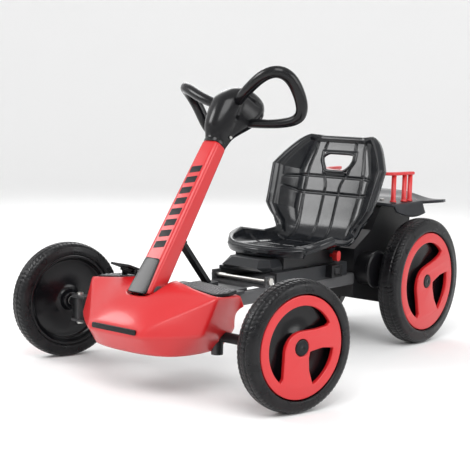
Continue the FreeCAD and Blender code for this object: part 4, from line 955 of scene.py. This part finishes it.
for post, (x, y) in enumerate(POST_FEET):
    foot = lathe(f"rail_post_{post}", POST_OUTLINE, 24, RED)
    upright = Matrix.Rotation(math.radians(-90), 4, "Y")
    foot.data.transform(Matrix.Translation((x * MM, y * MM, 309.5 * MM)) @ upright)
    put(foot, AXLE_LINE, "chassis", "red_plastic")
dress(LENS.material, "deck_reflector", width=0.4)
dress(ZINC, "deck_screws", width=0.4)
dress(NYLON, "drive_gear", "idler_gear", width=0)
dress(ZINC, "motor_pinion", width=0)
dress(black_plastic("battery_case", (0.05, 0.06, 0.09), 0.42, 500, 0.0004), "battery", width=0.8)

# ---------------------------------------------------------------- floor, light and camera
# A pale matt floor that curves up into a round wall, four large soft lamps, and a camera that
# looks from beyond the front left wheel.

sweep = bpy.data.meshes.new("studio_floor")
FLAT_RADIUS, WALL_CURVE, WALL_TOP, SPOKES = 3.6, 1.4, 3.2, 96
wall_profile = [(0.01, 0), (FLAT_RADIUS, 0)]
for step in range(1, 13):
    turn = math.pi / 2 * step / 12
    wall_profile.append((FLAT_RADIUS + WALL_CURVE * math.sin(turn), WALL_CURVE - WALL_CURVE * math.cos(turn)))
wall_profile.append((FLAT_RADIUS + WALL_CURVE, WALL_TOP))
rim_count = len(wall_profile)
vertices, faces = [], []
for step in range(SPOKES):
    angle = 2 * math.pi * step / SPOKES
    for radius, height in wall_profile:
        vertices.append((radius * math.cos(angle), radius * math.sin(angle), height))
    here, after = step * rim_count, (step + 1) % SPOKES * rim_count
    faces += [(here + row, after + row, after + row + 1, here + row + 1) for row in range(rim_count - 1)]
sweep.from_pydata(vertices, [], faces)
sweep.shade_smooth()
floor = bpy.data.objects.new("studio_floor", sweep)
bpy.context.scene.collection.objects.link(floor)
paper = Finish("studio_paper", Roughness=0.9, Specular_IOR_Level=0.2)
paper.set("Base Color", paper.colour((0.93, 0.93, 0.93, 1), (0.95, 0.95, 0.95, 1), paper.noise(0.8, 2)))
sweep.materials.append(paper.material)

world = bpy.data.worlds.new("studio")
world.use_nodes = True
world.node_tree.nodes["Background"].inputs["Color"].default_value = (1, 1, 1, 1)
world.node_tree.nodes["Background"].inputs["Strength"].default_value = 0.75
bpy.context.scene.world = world
bpy.context.scene.view_settings.view_transform = "Standard"


def softbox(name, place, aim, size, power):
    """Square lamp that faces a point."""
    light = bpy.data.lights.new(name, "AREA")
    light.shape, light.size, light.energy = "SQUARE", size, power
    lamp = bpy.data.objects.new(name, light)
    lamp.location = place
    lamp.rotation_euler = (Vector(aim) - Vector(place)).to_track_quat("-Z", "Y").to_euler()
    bpy.context.scene.collection.objects.link(lamp)


softbox("key_lamp", (1.2, -1.6, 2.4), (0, 0, 0.2), 1.6, 42)
softbox("side_lamp", (2.4, 0.6, 1.2), (0, 0, 0.3), 1.2, 16)
softbox("seat_lamp", (-1.35, -1.15, 1.35), (0, 0.2, 0.4), 0.7, 13)
softbox("back_lamp", (-1.8, 1.8, 2.0), (0, 0, 0.3), 1.6, 26)

CAMERA_PLACE = (1.4796, -1.9564, 0.5499)
yaw, pitch, roll = (math.radians(degrees) for degrees in (39.16, -7.01, 1.53))
lens = bpy.data.cameras.new("camera")
lens.lens, lens.sensor_width = 91.9, 36.0
lens.clip_end = 50
camera = bpy.data.objects.new("camera", lens)
level = Matrix.Rotation(yaw, 4, "Z") @ Matrix.Rotation(math.radians(90) + pitch, 4, "X")
camera.matrix_world = Matrix.Translation(CAMERA_PLACE) @ level @ Matrix.Rotation(roll, 4, "Z")
bpy.context.scene.collection.objects.link(camera)
bpy.context.scene.camera = camera
